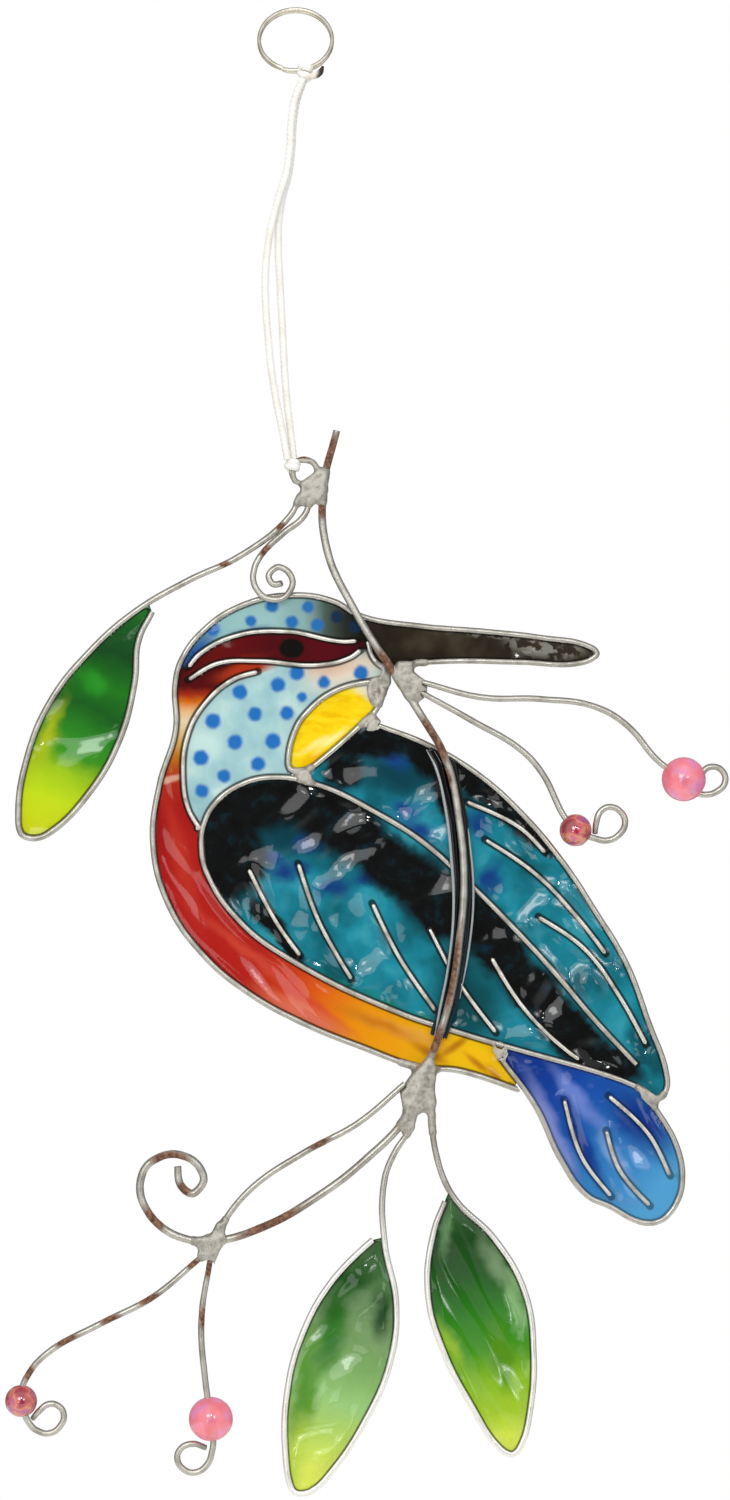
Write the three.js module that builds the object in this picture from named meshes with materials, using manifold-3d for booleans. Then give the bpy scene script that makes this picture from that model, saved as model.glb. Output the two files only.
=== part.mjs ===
// Hanging mobile: a long-billed bird bent from soldered wire and filled with glossy resin film,
// perched behind a twig of wire with three leaves and four beads, hung by a cord from a split ring.
// Millimetres, +Z up, the bird's front faces -Y. The origin is the point where the ring bears on its nail.
import * as THREE from 'three';
import { mergeVertices } from 'three/addons/utils/BufferGeometryUtils.js';
import Module from 'manifold-3d';

const wasm = await Module();
wasm.setup();

// Driving dimensions
const METALWORK_HEIGHT = 266; // twig's cut top to the lowest leaf tip
const CORD_DROP = 98.3; // top knot to bottom knot
const STEM_WIRE = 2.0;
const TWIG_WIRE = 1.6; // leaves, curl, branch and bead wires
const FRAME_WIRE = 1.5; // outlines of the bird's films
const INNER_WIRE = 1.1; // wires inside a film
const EYE_WIRE = 1.0; // the hanging eye
const EYE_RADIUS = 3.25; // to the middle of its wire
const FILM = 0.9; // thickness of the resin film
const FILLET = 0.9; // height of the resin that glues the stem to the bird, beside the stem
const FILLET_WEB = 0.35; // of that resin under the stem
const FILLET_WIDTH = 1.25; // of it on each side of the stem
const FILLET_SPREAD = 1.4; // how much wider it starts, on the side of the head
const FILLET_EDGE = 0.3; // bevel along its rim
const SOLDER = 3.6; // thickness of a solder joint in one layer of wire
const SOLDER_EDGE = 0.5; // bevel round it
const PINK_BEAD = 11;
const RED_BEAD = 8;
const BEAD_LOOP = 2.9; // mean radius of the loop that lies against a bead, to the middle of its wire
const CORD = 1.9;
const KNOT = 4.4; // width of a knot
const SINGED_TAIL = 1.6; // the cord's singed end, at the top knot
const RING_OUTER = 19.25;
const RING_BAND = 1.0; // radial thickness of the split ring's wire
const RING_COIL = 1.0; // axial thickness of one of its two turns
const RING_LEAN = 28; // degrees, the lower edge towards the viewer
const GAP = 0.3; // between touching pieces
const WIRE_ROOM = 0.36; // round a wire in a joint or at a film's edge, so that their facets keep the gap

// How finely curves are faceted
const TURN = THREE.MathUtils.degToRad(21); // most that a wire turns in one step
const RUN = 15; // longest straight step of a wire
const WIRE_SIDES = 6;
const CORD_SIDES = 8;
const BEAD_SIDES = 14;
const RING_SIDES = 26;

// The drawing below has the hanging eye's centre at 0, 0, and these are its highest and lowest edges
const DRAWING = { top: 10.7, bottom: -255.3 };
const drawn = METALWORK_HEIGHT / (DRAWING.top - DRAWING.bottom);

// The split ring leans about X, and the metalwork hangs under the ring's middle
const lean = THREE.MathUtils.degToRad(RING_LEAN);
const ringMiddle = RING_OUTER / 2 - RING_BAND; // inner radius
const knotTop = new THREE.Vector3(
  2.4,
  -(RING_OUTER - 1.5 * RING_BAND) * Math.sin(lean),
  -(RING_OUTER - 1.5 * RING_BAND) * Math.cos(lean),
);
const knotBottomZ = knotTop.z - CORD_DROP;
const EYE_X = 2.1; // the hanging eye's centre, right of the origin
const KNOT_ON_EYE = THREE.MathUtils.degToRad(152); // where the bottom knot sits round the eye
const eyeZ = knotBottomZ - EYE_RADIUS * Math.sin(KNOT_ON_EYE);

// The twig lies in front of the bird, with the resin fillet's web between them
const BIRD = -ringMiddle * Math.sin(lean);
const TWIG = BIRD - FRAME_WIRE / 2 - GAP - FILLET_WEB - GAP - STEM_WIRE / 2;

const STEEL = { color: 0xb4b0a4, roughness: 0.38, metalness: 0.9 };
const RUSTED = { color: 0x8f7a68, roughness: 0.5, metalness: 0.8 };
const TIN = { color: 0xbab6a8, roughness: 0.45, metalness: 0.85 };
const NICKEL = { color: 0xb8b4a6, roughness: 0.25, metalness: 1 };
const WHITE = { color: 0xf2f0ec, roughness: 0.9, metalness: 0 };
const resin = (color) => ({ color, roughness: 0.12, metalness: 0 });

// Solids

const solidOf = (geometry) => {
  const plain = geometry.clone();
  plain.deleteAttribute('normal');
  plain.deleteAttribute('uv');
  const merged = mergeVertices(plain, 1e-4);
  return new wasm.Manifold(
    new wasm.Mesh({
      numProp: 3,
      vertProperties: new Float32Array(merged.attributes.position.array),
      triVerts: new Uint32Array(merged.index.array),
    }),
  );
};

const geometryOf = (solid) => {
  const mesh = solid.getMesh();
  const geometry = new THREE.BufferGeometry();
  geometry.setAttribute('position', new THREE.BufferAttribute(new Float32Array(mesh.vertProperties), 3));
  geometry.setIndex(new THREE.BufferAttribute(new Uint32Array(mesh.triVerts), 1));
  return geometry;
};

const cut = (solid, cutters) => cutters.reduce((left, cutter) => left.subtract(cutter), solid);

const group = new THREE.Group();
group.name = 'hanging_mobile';
const add = (name, solid, material) => {
  const geometry = geometryOf(solid).toNonIndexed();
  geometry.computeVertexNormals();
  const mesh = new THREE.Mesh(geometry, new THREE.MeshStandardMaterial(material));
  mesh.name = name;
  group.add(mesh);
};

// Wires

// A point of the drawing, at the depth of its layer
const place = ([x, z], y) => new THREE.Vector3(EYE_X + x * drawn, y, eyeZ + z * drawn);

// A smooth curve whose steps are short where it bends and long where it runs straight
class PacedCurve extends THREE.Curve {
  constructor(points, turn = TURN, run = RUN) {
    super();
    this.smooth = new THREE.CatmullRomCurve3(points, false, 'centripetal');
    this.smooth.arcLengthDivisions = 60 * points.length;
    const fine = 24 * points.length;
    this.stops = [0];
    let heading = this.smooth.getTangentAt(0);
    let turned = 0;
    for (let i = 1; i < fine; i += 1) {
      const next = this.smooth.getTangentAt(i / fine);
      turned += heading.angleTo(next);
      heading = next;
      const ran = (i / fine - this.stops.at(-1)) * this.smooth.getLength();
      if (turned > turn || ran > run) {
        this.stops.push(i / fine);
        turned = 0;
      }
    }
    this.stops.push(1);
  }

  get steps() {
    return this.stops.length - 1;
  }

  atStop(u) {
    const step = u * this.steps;
    const before = Math.min(Math.floor(step), this.steps - 1);
    return THREE.MathUtils.lerp(this.stops[before], this.stops[before + 1], step - before);
  }

  getPointAt(u) {
    return this.smooth.getPointAt(this.atStop(u));
  }

  getTangentAt(u) {
    return this.smooth.getTangentAt(this.atStop(u));
  }
}

const roundSection = (radius, sides) => {
  const section = new THREE.Shape();
  const corners = Array.from({ length: sides }, (_, i) => {
    const angle = (2 * Math.PI * (i + 0.5)) / sides;
    return new THREE.Vector2(radius * Math.cos(angle), radius * Math.sin(angle));
  });
  return section.setFromPoints(corners);
};

const tube = (curve, radius, sides = WIRE_SIDES) =>
  solidOf(
    new THREE.ExtrudeGeometry(roundSection(radius, sides), {
      steps: curve.steps,
      extrudePath: curve,
      bevelEnabled: false,
    }),
  );

// A bent wire: its curve, its solid, the room that it needs in a joint, and its slot through a film
const wire = (points, diameter, y) => {
  const curve = new PacedCurve(points.map((p) => (p.isVector3 ? p : place(p, y))));
  return {
    curve,
    y,
    solid: tube(curve, diameter / 2),
    room: tube(curve, diameter / 2 + WIRE_ROOM),
    slot: tube(curve, (diameter / 2 + WIRE_ROOM) * Math.SQRT2, 4),
  };
};

// Films and solder

// The points of a wire's middle between the places nearest to two points of the drawing
const stretch = (bent, from, to) => {
  const many = 400;
  const nearest = (target) => {
    const goal = place(target, bent.y);
    let best = 0;
    let least = Infinity;
    for (let i = 0; i <= many; i += 1) {
      const away = bent.curve.smooth.getPointAt(i / many).distanceTo(goal);
      if (away < least) [least, best] = [away, i / many];
    }
    return best;
  };
  const [start, end] = [nearest(from), nearest(to)];
  const between = bent.curve.stops.filter((s) => s > Math.min(start, end) && s < Math.max(start, end));
  const forward = [Math.min(start, end), ...between, Math.max(start, end)];
  const ordered = start < end ? forward : forward.reverse();
  return ordered.map((s) => bent.curve.smooth.getPointAt(s));
};

// A slab of an outline in X and Z, between two depths
const slab = (points, front, back, bevel = 0) => {
  const outline = new THREE.Shape(points.map((p) => new THREE.Vector2(p.x, p.z)));
  const geometry = new THREE.ExtrudeGeometry(outline, {
    depth: back - front - 2 * bevel,
    bevelEnabled: bevel > 0,
    bevelThickness: bevel,
    bevelSize: bevel,
    bevelOffset: -bevel,
    bevelSegments: 1,
  });
  geometry.rotateX(Math.PI / 2);
  geometry.translate(0, back - bevel, 0);
  return solidOf(geometry);
};

// A film fills an outline up to its wires, and clear is what must stay out of it
const film = (points, y, wires) => ({
  solid: cut(slab(points, y - FILM / 2, y + FILM / 2), wires.map((bent) => bent.slot)),
  clear: slab(points, y - FILM / 2 - GAP, y + FILM / 2 + GAP),
});

// A solder joint in one layer, or through both, melted round its wires
const solder = (corners, front, back, around, films = []) => {
  const outline = corners.map((p) => place(p, 0));
  const blob = slab(outline, front - SOLDER / 2, back + SOLDER / 2, SOLDER_EDGE);
  return cut(blob, [...around.map((bent) => bent.room), ...films.map((f) => f.clear)]);
};

// The twig, in front

// A round bend in X and Z, whose radius may shrink on the way
const arc = (centre, [startRadius, endRadius], from, to, steps) =>
  Array.from({ length: steps + 1 }, (_, i) => {
    const angle = THREE.MathUtils.degToRad(THREE.MathUtils.lerp(from, to, i / steps));
    const radius = THREE.MathUtils.lerp(startRadius, endRadius, i / steps);
    return new THREE.Vector3(
      centre.x + radius * Math.cos(angle),
      centre.y,
      centre.z + radius * Math.sin(angle),
    );
  });

const stem = wire(
  [
    [8.2, 10.2], [5.7, 1.7], [4.5, -10.2], [5.5, -18.5], [9.6, -29.2], [18.2, -43.2], [25.4, -55],
    [31, -63.3], [34.8, -70], [37.7, -81.5], [39.6, -93.3], [39.9, -103.8], [37.5, -127], [35, -137],
    [32.2, -144.8], [27.2, -158.5], [19.8, -167.5], [9.2, -176.8], [-4, -185.4], [-18, -191.4],
    [-29.2, -191.6], [-36.8, -187.4], [-40.8, -180.2], [-39.4, -173.6], [-33.4, -170.4],
    [-27.4, -172.2], [-25, -176.8], [-27.8, -180.2], [-30.8, -178], [-31.5, -173.4],
  ],
  STEM_WIRE,
  TWIG,
);

const eyeCentre = place([0, 0], TWIG);
const knotBottom = new THREE.Vector3(-Math.abs(Math.cos(KNOT_ON_EYE)), 0, Math.sin(KNOT_ON_EYE))
  .multiplyScalar(EYE_RADIUS)
  .add(eyeCentre);
const eye = wire(arc(eyeCentre, [EYE_RADIUS, EYE_RADIUS], 250, 6, 10), EYE_WIRE, TWIG);

const upperLeaf = wire(
  [
    [-0.6, -5.6], [-2.8, -10.2], [-8.6, -16], [-17.2, -21.8], [-26.8, -26.2], [-39, -32.8],
    [-49.2, -40.8], [-57.2, -49.2], [-64.8, -60], [-69.2, -71.8], [-71.3, -84], [-70.3, -90.6],
    [-66.2, -91.4], [-60.4, -87.8], [-52, -78], [-45.2, -65], [-42.2, -52.5], [-41.2, -42],
    [-37.8, -35],
  ],
  TWIG_WIRE,
  TWIG,
);
const leftLeaf = wire(
  [
    [26.4, -164.4], [24.6, -167.8], [21.6, -172], [19.5, -181], [20, -191.5], [22.4, -203],
    [23.2, -212], [21.6, -222], [18.8, -229.8], [10.8, -244.2], [1.8, -254.4], [-2.4, -254.6],
    [-4.4, -247], [-4.6, -236], [-3.2, -224], [2.2, -209.8], [11.5, -196.4], [17.2, -191.8],
  ],
  TWIG_WIRE,
  TWIG,
);
const rightLeaf = wire(
  [
    [31.5, -156.2], [31.8, -164.2], [33, -170.5], [36, -179], [39.5, -183.5], [47.8, -191.8],
    [54.5, -203], [57.2, -215.8], [56.8, -227.8], [55.4, -240], [52.2, -245.2], [48.6, -243.4],
    [43.5, -235.8], [36.8, -223.8], [32, -211.2], [30.8, -198.8], [33.4, -186.4], [35.2, -182.2],
  ],
  TWIG_WIRE,
  TWIG,
);
const curl = wire(
  [
    [1.8, -7], [-0.3, -11.5], [-6.1, -16.2], [-11.5, -22.2], [-12.6, -27.4], [-9.8, -31.4],
    [-5.2, -31.6], [-2.8, -28], [-4, -25], [-6.6, -23.9], [-8.8, -26], [-7.7, -28.1],
    [-5.5, -27.9],
  ],
  TWIG_WIRE,
  TWIG,
);
const branch = wire(
  [
    [25.2, -152.8], [17.2, -160.4], [9.2, -164.8], [0.2, -169.9], [-7, -174.1], [-13.4, -179.2],
    [-17.6, -183.5], [-20.4, -188.4],
  ],
  TWIG_WIRE,
  TWIG,
);

// A bead wire runs to the bead, through it and round a loop that lies against it. The wire leaves the bead
// along an angle, and side says which way round the loop goes.
const LOOP_OPENS = 212; // degrees round the loop's middle, from where the wire points
const LOOP_ENDS = 514;
const LOOP_SPIRAL = [1.12 * BEAD_LOOP, 0.8 * BEAD_LOOP]; // it closes in on itself
const beadWire = (points, beadAt, bead, angle, side) => {
  const centre = place(beadAt, TWIG);
  const along = THREE.MathUtils.degToRad(angle);
  const reach = bead / 2 + GAP + TWIG_WIRE / 2 + BEAD_LOOP;
  const out = new THREE.Vector3(Math.cos(along), 0, Math.sin(along));
  const middle = centre.clone().addScaledVector(out, reach);
  const loop = arc(middle, LOOP_SPIRAL, angle + side * LOOP_OPENS, angle + side * LOOP_ENDS, 9);
  return { centre, bead, bent: wire([...points, centre, ...loop], TWIG_WIRE, TWIG) };
};

const beadOn = ({ centre, bead, bent }) => {
  const ball = new THREE.SphereGeometry(bead / 2, BEAD_SIDES, BEAD_SIDES / 2 + 1);
  ball.translate(centre.x, centre.y, centre.z);
  return cut(solidOf(ball), [bent.room]);
};

const pinkUpper = beadWire(
  [
    [29.6, -52.6], [34, -54.2], [42, -56.1], [55.5, -56.8], [67.2, -57.2], [77.5, -61], [84, -66.8],
    [88.8, -72.6],
  ],
  [93.5, -76.2], PINK_BEAD, -8, 1,
);
const redUpper = beadWire(
  [[29.4, -55.2], [34, -58.6], [43, -62.7], [51.8, -67.8], [57.4, -72.4], [60.6, -77.4], [63.2, -83]],
  [68.2, -89.8], RED_BEAD, 16, 1,
);
const redLower = beadWire(
  [
    [-26, -196.4], [-32, -201.8], [-38.3, -206.4], [-48.2, -211.5], [-59.6, -217], [-66.4, -222.2],
    [-69.8, -227.4],
  ],
  [-70.5, -232.2], RED_BEAD, -30, 1,
);
const pinkLower = beadWire(
  [[-23.4, -196.8], [-24.8, -203], [-25.6, -213.2], [-25, -223.2], [-24.2, -229.8]],
  [-23.2, -235.8], PINK_BEAD, -112, -1,
);

// The bird, behind the twig

const tail = wire(
  [
    [49.2, -146.5], [51.8, -149.9], [57.6, -158], [61.2, -165.8], [66.5, -175.7], [71.5, -181.4],
    [78, -184.2], [84.5, -187.6], [89.4, -187], [93.2, -182.5], [94.6, -176.6], [93, -168],
    [89.4, -161.4], [87, -158.2],
  ],
  FRAME_WIRE,
  BIRD,
);
const bodyLine = wire(
  [
    [53.6, -154.4], [48, -152.8], [38.5, -149.6], [28.5, -148.7], [15.6, -144.2], [0.2, -138],
    [-14.5, -129.8], [-26.8, -118.9], [-34.8, -106], [-37.8, -92.4], [-36.6, -80], [-32.8, -69],
    [-31.8, -60], [-32.2, -53], [-30.9, -47.6], [-25.3, -39.8], [-15.8, -33.5], [-3.5, -30.8],
    [7, -32.2], [13.6, -35.8], [20.5, -37.8], [35.8, -39], [53.6, -40.9], [70.2, -43.2],
    [73.2, -45.4], [70, -47.5], [58, -47.6], [40.2, -47.2], [26.6, -47.8],
  ],
  FRAME_WIRE,
  BIRD,
);
const nearWing = wire(
  [
    [83.1, -148.1], [75.5, -140.2], [64.5, -127.2], [53.2, -114.8], [42.6, -104.2], [36.9, -98.4],
    [27.5, -90.9], [15.6, -83.8], [6.2, -79.2], [-2, -76.8], [-10, -76.5], [-17.5, -79],
    [-23, -83.8], [-25.5, -90.2], [-25, -98.2], [-20.8, -106.4], [-13.2, -115.2], [-6.8, -120],
    [6.2, -126.5], [18.5, -132.5], [30.8, -138.1], [48.9, -142.5], [57.5, -146.5], [71.8, -149.9],
    [82.2, -153.2], [86.6, -155.9],
  ],
  FRAME_WIRE,
  BIRD,
);
const farWing = wire(
  [
    [18.6, -63.4], [24, -66], [30.2, -67.9], [36.5, -71.2], [42.6, -75], [48.9, -80], [61.2, -93],
    [71.2, -107.4], [81.2, -124.2], [87, -140.2], [90.6, -150.4], [90.6, -154.2], [88.8, -156.8],
  ],
  FRAME_WIRE,
  BIRD,
);
const yellowLine = wire(
  [
    [19.5, -51.8], [13, -52.8], [7.2, -55], [2.5, -58.5], [-1, -62.2], [-2.9, -66.5], [-3.9, -71],
    [-3.5, -74.2], [-0.8, -74.8], [3, -73.2], [5.9, -70.2], [11.5, -64.9], [17.1, -60.7],
    [18.9, -57.6], [19.6, -54],
  ],
  FRAME_WIRE,
  BIRD,
);
const inner = (points) => wire(points, INNER_WIRE, BIRD);
const cheek = inner([
  [-11.5, -49.9], [-16.8, -51.4], [-24, -57], [-29, -65.6], [-30.2, -76.5], [-29.2, -83.5], [-26.4, -89],
]);
const beakBase = inner([[15.8, -42], [16.7, -45.4], [18.2, -47.6], [20.4, -49.2]]);
const stripes = {
  eye_stripe_upper_wire: inner([
    [-29, -48.9], [-26.4, -45.8], [-17.8, -41.2], [-7.2, -39.8], [2, -40.8], [9.5, -42.4], [13.4, -42.2],
  ]),
  eye_stripe_lower_wire: inner([
    [-29, -52], [-22, -48], [-13, -47.2], [-2.8, -48.4], [7.2, -47.8], [11.5, -46.4], [14.4, -44.4],
  ]),
};
const wingVeins = {
  near_wing_vein_1: inner([[-13.9, -99.2], [-11.5, -104.8], [-7.4, -111.8], [-0.9, -121]]),
  near_wing_vein_2: inner([[-1.5, -97.8], [0.2, -104.2], [3.8, -112.5], [12, -127]]),
  near_wing_vein_3: inner([[17, -107.8], [19.8, -114.2], [24.5, -122.5], [33, -134.8]]),
  near_wing_vein_4: inner([[31.2, -113.9], [36, -123.5], [43.9, -134.8], [48, -140.2]]),
  near_wing_vein_5: inner([[46.8, -121.4], [50.1, -127.2], [55, -134.1], [62.5, -142.2], [69, -147]]),
  far_wing_vein_1: inner([[40.5, -82.4], [47.6, -85], [53.8, -88.8], [60.4, -95.2]]),
  far_wing_vein_2: inner([[45.2, -91.8], [51.2, -95.9], [58.8, -101.2], [65, -107.4], [75.5, -120.5]]),
  far_wing_vein_3: inner([[58.5, -111.1], [65, -114.8], [70.6, -119.8], [81.2, -134.8], [85.6, -143.2]]),
};
const tailVeins = {
  tail_vein_1: inner([[65, -156.8], [65.8, -161.1], [67.8, -167.2], [70.8, -173.8], [76.8, -181.2]]),
  tail_vein_2: inner([[75.5, -164.5], [76.9, -170.2], [79.2, -175], [86.5, -183.5]]),
  tail_vein_3: inner([[76.1, -155.9], [80.2, -158.8], [84.5, -163.5], [88.4, -168.8], [91.6, -176]]),
};

const bodyFilm = film(
  [
    ...stretch(bodyLine, [51, -153.6], [26.6, -47.8]),
    ...stretch(beakBase, [20.4, -49.2], [20.4, -49.2]).slice(1),
    ...stretch(yellowLine, [19.5, -51.8], [-3.5, -74.2]),
    ...stretch(nearWing, [-3.6, -76.6], [48.9, -142.5]),
    ...stretch(tail, [49.2, -146.5], [54, -153]),
  ],
  BIRD,
  [bodyLine, yellowLine, nearWing, tail, cheek, beakBase, ...Object.values(stripes)],
);
const yellowFilm = film(stretch(yellowLine, [17.4, -52], [19.2, -56.4]), BIRD, [yellowLine]);
const wingsFilm = film(
  [
    ...stretch(farWing, [18.6, -63.4], [88.8, -156.8]),
    ...stretch(nearWing, [86.6, -155.9], [-2, -76.8]),
    ...stretch(yellowLine, [0.6, -74.6], [17.1, -60.7]),
  ],
  BIRD,
  [farWing, nearWing, yellowLine, ...Object.values(wingVeins)],
);
const tailFilm = film(
  [
    ...stretch(tail, [49.2, -146.5], [87, -158.2]),
    ...stretch(nearWing, [86.6, -155.9], [51, -143.6]),
  ],
  BIRD,
  [tail, nearWing, ...Object.values(tailVeins)],
);
const leafFilm = (bent, from, to) => film(stretch(bent, from, to), TWIG, [bent]).solid;

// Resin runs up both sides of the stem where it crosses the bird and glues the two together
const FILLET_TOP = [33.6, -68];
const FILLET_BOTTOM = [33.4, -141.6];
const filletBand = () => {
  const middle = stretch(stem, FILLET_TOP, FILLET_BOTTOM);
  const side = (sign) =>
    middle.map((p, i) => {
      const along = middle[Math.min(i + 1, middle.length - 1)].clone().sub(middle[Math.max(i - 1, 0)]);
      const across = new THREE.Vector3(along.z, 0, -along.x).normalize();
      const down = i / (middle.length - 1);
      const wider = sign > 0 ? FILLET_SPREAD * (1 - down) ** 3 : 0;
      return p.clone().addScaledVector(across, sign * (STEM_WIRE / 2 + FILLET_WIDTH + wider));
    });
  const back = BIRD - FRAME_WIRE / 2 - GAP;
  const front = back - FILLET_WEB - FILLET;
  const band = slab([...side(1), ...side(-1).reverse()], front, back, FILLET_EDGE);
  return cut(band, [stem.room]);
};

// Ring, cord and knots

const splitRing = () => {
  const outer = RING_OUTER / 2;
  const groove = 0.2 * RING_BAND;
  const section = [
    [outer - 0.5 * RING_BAND, -RING_COIL], [outer, -0.5 * RING_COIL], [outer - groove, 0],
    [outer, 0.5 * RING_COIL], [outer - 0.5 * RING_BAND, RING_COIL],
    [outer - RING_BAND, 0.5 * RING_COIL], [outer - RING_BAND, -0.5 * RING_COIL],
  ];
  const profile = [...section, section[0]].map(([r, a]) => new THREE.Vector2(r, a));
  const ring = new THREE.LatheGeometry(profile, RING_SIDES);
  ring.translate(0, 0, -ringMiddle);
  ring.rotateX(-lean);
  return solidOf(ring);
};
const ring = splitRing();

// The two strands lie one before the other, and pass through these points of the drawing
const cordPoints = (points, side) =>
  points.map(([x, z]) => {
    const up = z / 100;
    const y = THREE.MathUtils.lerp(TWIG, knotTop.y, up) + side * (CORD / 2 + GAP);
    return new THREE.Vector3(EYE_X + x, y, THREE.MathUtils.lerp(knotBottomZ, knotTop.z, up));
  });
const LEFT_STRAND = [
  [-0.2, 98], [-2.4, 92], [-3.2, 86], [-3.5, 80.5], [-4.4, 74], [-6.2, 68], [-7.8, 62], [-9, 55],
  [-9.6, 47], [-9.4, 39], [-8.8, 31.5], [-8, 23.5], [-6.8, 16], [-5.4, 9], [-4.1, 1.4],
];
const RIGHT_STRAND = [
  [0, 98], [-1.9, 92], [-2.7, 86], [-3, 80.5], [-3.8, 74], [-5.2, 68.5], [-6.2, 62.5], [-6.4, 55],
  [-6, 47], [-5.6, 39], [-5.2, 31.5], [-4.8, 23.5], [-4.2, 16], [-3.4, 9], [-2.5, 1.4],
];
const STRAND_STEP = 2.6 * CORD;
const strand = (points, side) => {
  const route = new THREE.CatmullRomCurve3(cordPoints(points, side), false, 'centripetal');
  const path = Object.assign(route, { steps: Math.round(route.getLength() / STRAND_STEP) });
  return { solid: tube(path, CORD / 2, CORD_SIDES), room: tube(path, CORD / 2 + GAP, CORD_SIDES) };
};
const leftStrand = strand(LEFT_STRAND, -1);
const rightStrand = strand(RIGHT_STRAND, 1);

// A knot is a tight ball round the wire that it is tied to, and the top one ends in a short singed tail
const knotBall = (centre, deep, tall) => {
  const ball = new THREE.SphereGeometry(KNOT / 2, 10, 7);
  ball.scale(1, deep, tall);
  ball.translate(centre.x, centre.y, centre.z);
  return solidOf(ball);
};
const ringRoom = (() => {
  const fat = new THREE.TorusGeometry(
    RING_OUTER / 2 - RING_BAND / 2, Math.hypot(RING_BAND / 2, RING_COIL) + GAP, 8, RING_SIDES,
  );
  fat.rotateX(Math.PI / 2);
  fat.translate(0, 0, -ringMiddle);
  fat.rotateX(-lean);
  return solidOf(fat);
})();
const singedTail = () => {
  const [x, y, z] = knotTop.clone().sub(new THREE.Vector3(0, KNOT / 2, 0)).toArray();
  const route = new PacedCurve([
    new THREE.Vector3(x, y + 1, z - 1.4), new THREE.Vector3(x + 2.2, y, z - 1.6),
    new THREE.Vector3(x + 3.8, y + 0.1, z - 0.6), new THREE.Vector3(x + 4.5, y + 0.2, z + 0.9),
  ]);
  return tube(route, SINGED_TAIL / 2);
};

// The whole object

add('split_ring', ring, NICKEL);
add('cord_left', leftStrand.solid, WHITE);
add('cord_right', rightStrand.solid, WHITE);
add(
  'cord_knot_top',
  cut(knotBall(knotTop, 1.25, 1.5).add(singedTail()), [ringRoom, leftStrand.room, rightStrand.room]),
  WHITE,
);
add(
  'cord_knot_bottom',
  cut(knotBall(knotBottom, 1.25, 1.1), [eye.room, leftStrand.room, rightStrand.room]),
  WHITE,
);

add('hanging_eye', eye.solid, STEEL);
add('stem_wire', stem.solid, RUSTED);
add('curl_wire', curl.solid, STEEL);
add('branch_wire', branch.solid, STEEL);
add('upper_leaf_wire', upperLeaf.solid, STEEL);
add('left_leaf_wire', leftLeaf.solid, STEEL);
add('right_leaf_wire', rightLeaf.solid, STEEL);
add('upper_leaf_film', leafFilm(upperLeaf, [-39, -32.8], [-37.8, -35]), resin(0x58a520));
add('left_leaf_film', leafFilm(leftLeaf, [20, -191.5], [17.2, -191.8]), resin(0x4f9a28));
add('right_leaf_film', leafFilm(rightLeaf, [36, -179], [35.2, -182.2]), resin(0x4f9a28));

const beads = { pink_upper: pinkUpper, red_upper: redUpper, red_lower: redLower, pink_lower: pinkLower };
Object.entries(beads).forEach(([name, strung]) => {
  const pink = strung.bead === PINK_BEAD;
  add(`${name}_bead_wire`, strung.bent.solid, STEEL);
  add(`${name}_bead`, beadOn(strung), { color: pink ? 0xf58ab0 : 0xc03a5a, roughness: 0.1, metalness: 0 });
});

add('body_wire', cut(bodyLine.solid, [tail.room]), STEEL);
add('beak_base_wire', beakBase.solid, STEEL);
add('cheek_wire', cut(cheek.solid, [nearWing.room]), STEEL);
add('yellow_patch_wire', yellowLine.solid, STEEL);
add('near_wing_wire', nearWing.solid, STEEL);
add('far_wing_wire', farWing.solid, STEEL);
add('tail_wire', tail.solid, STEEL);
Object.entries({ ...stripes, ...wingVeins, ...tailVeins }).forEach(([name, bent]) => {
  add(name, bent.solid, STEEL);
});

add('body_film', bodyFilm.solid, resin(0xb8322a));
add('yellow_patch_film', yellowFilm.solid, resin(0xf5d010));
add('wings_film', wingsFilm.solid, resin(0x14525e));
add('tail_film', tailFilm.solid, resin(0x2468b4));
add('stem_fillet', filletBand(), resin(0x1a1c1e));

add(
  'top_solder',
  solder(
    [[4.2, 1.4], [-1.4, -2.6], [-1.2, -6.6], [0.8, -8.2], [4, -8], [5.6, -6], [6, 0.4]],
    TWIG, TWIG, [stem, eye, upperLeaf, curl],
  ),
  TIN,
);
add(
  'beak_solder',
  solder(
    [
      [22.6, -47], [27.8, -46.8], [27.6, -49.6], [31.4, -52.4], [31.2, -56.2], [28.4, -58.2],
      [26.2, -55], [23, -51],
    ],
    TWIG, BIRD, [stem, bodyLine, pinkUpper.bent, redUpper.bent], [bodyFilm],
  ),
  TIN,
);
add(
  'yellow_corner_solder',
  solder(
    [[18.2, -50.2], [20.8, -48], [22.2, -50.2], [22.2, -53], [20.8, -55.6], [19.4, -57.6], [18, -54]],
    BIRD + 0.5, BIRD, [yellowLine, beakBase, stem], [bodyFilm, yellowFilm],
  ),
  TIN,
);
add(
  'yellow_wing_solder',
  solder(
    [[14.2, -64.6], [17, -61.2], [19, -61], [20.2, -63.6], [19, -65.4], [16, -66]],
    BIRD, BIRD, [yellowLine, farWing], [yellowFilm, wingsFilm],
  ),
  TIN,
);
add(
  'yellow_tip_solder',
  solder(
    [[-2, -75], [0.6, -74], [3, -75.6], [2.6, -79], [0.2, -79.4], [-2, -78]],
    BIRD, BIRD, [yellowLine, nearWing], [yellowFilm, wingsFilm, bodyFilm],
  ),
  TIN,
);
add(
  'tail_root_solder',
  solder(
    [[46.4, -141.6], [50.4, -142], [52.2, -145.2], [50.8, -148.4], [48.2, -148], [46, -144.8]],
    BIRD, BIRD, [tail, nearWing], [bodyFilm, wingsFilm, tailFilm],
  ),
  TIN,
);
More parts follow.
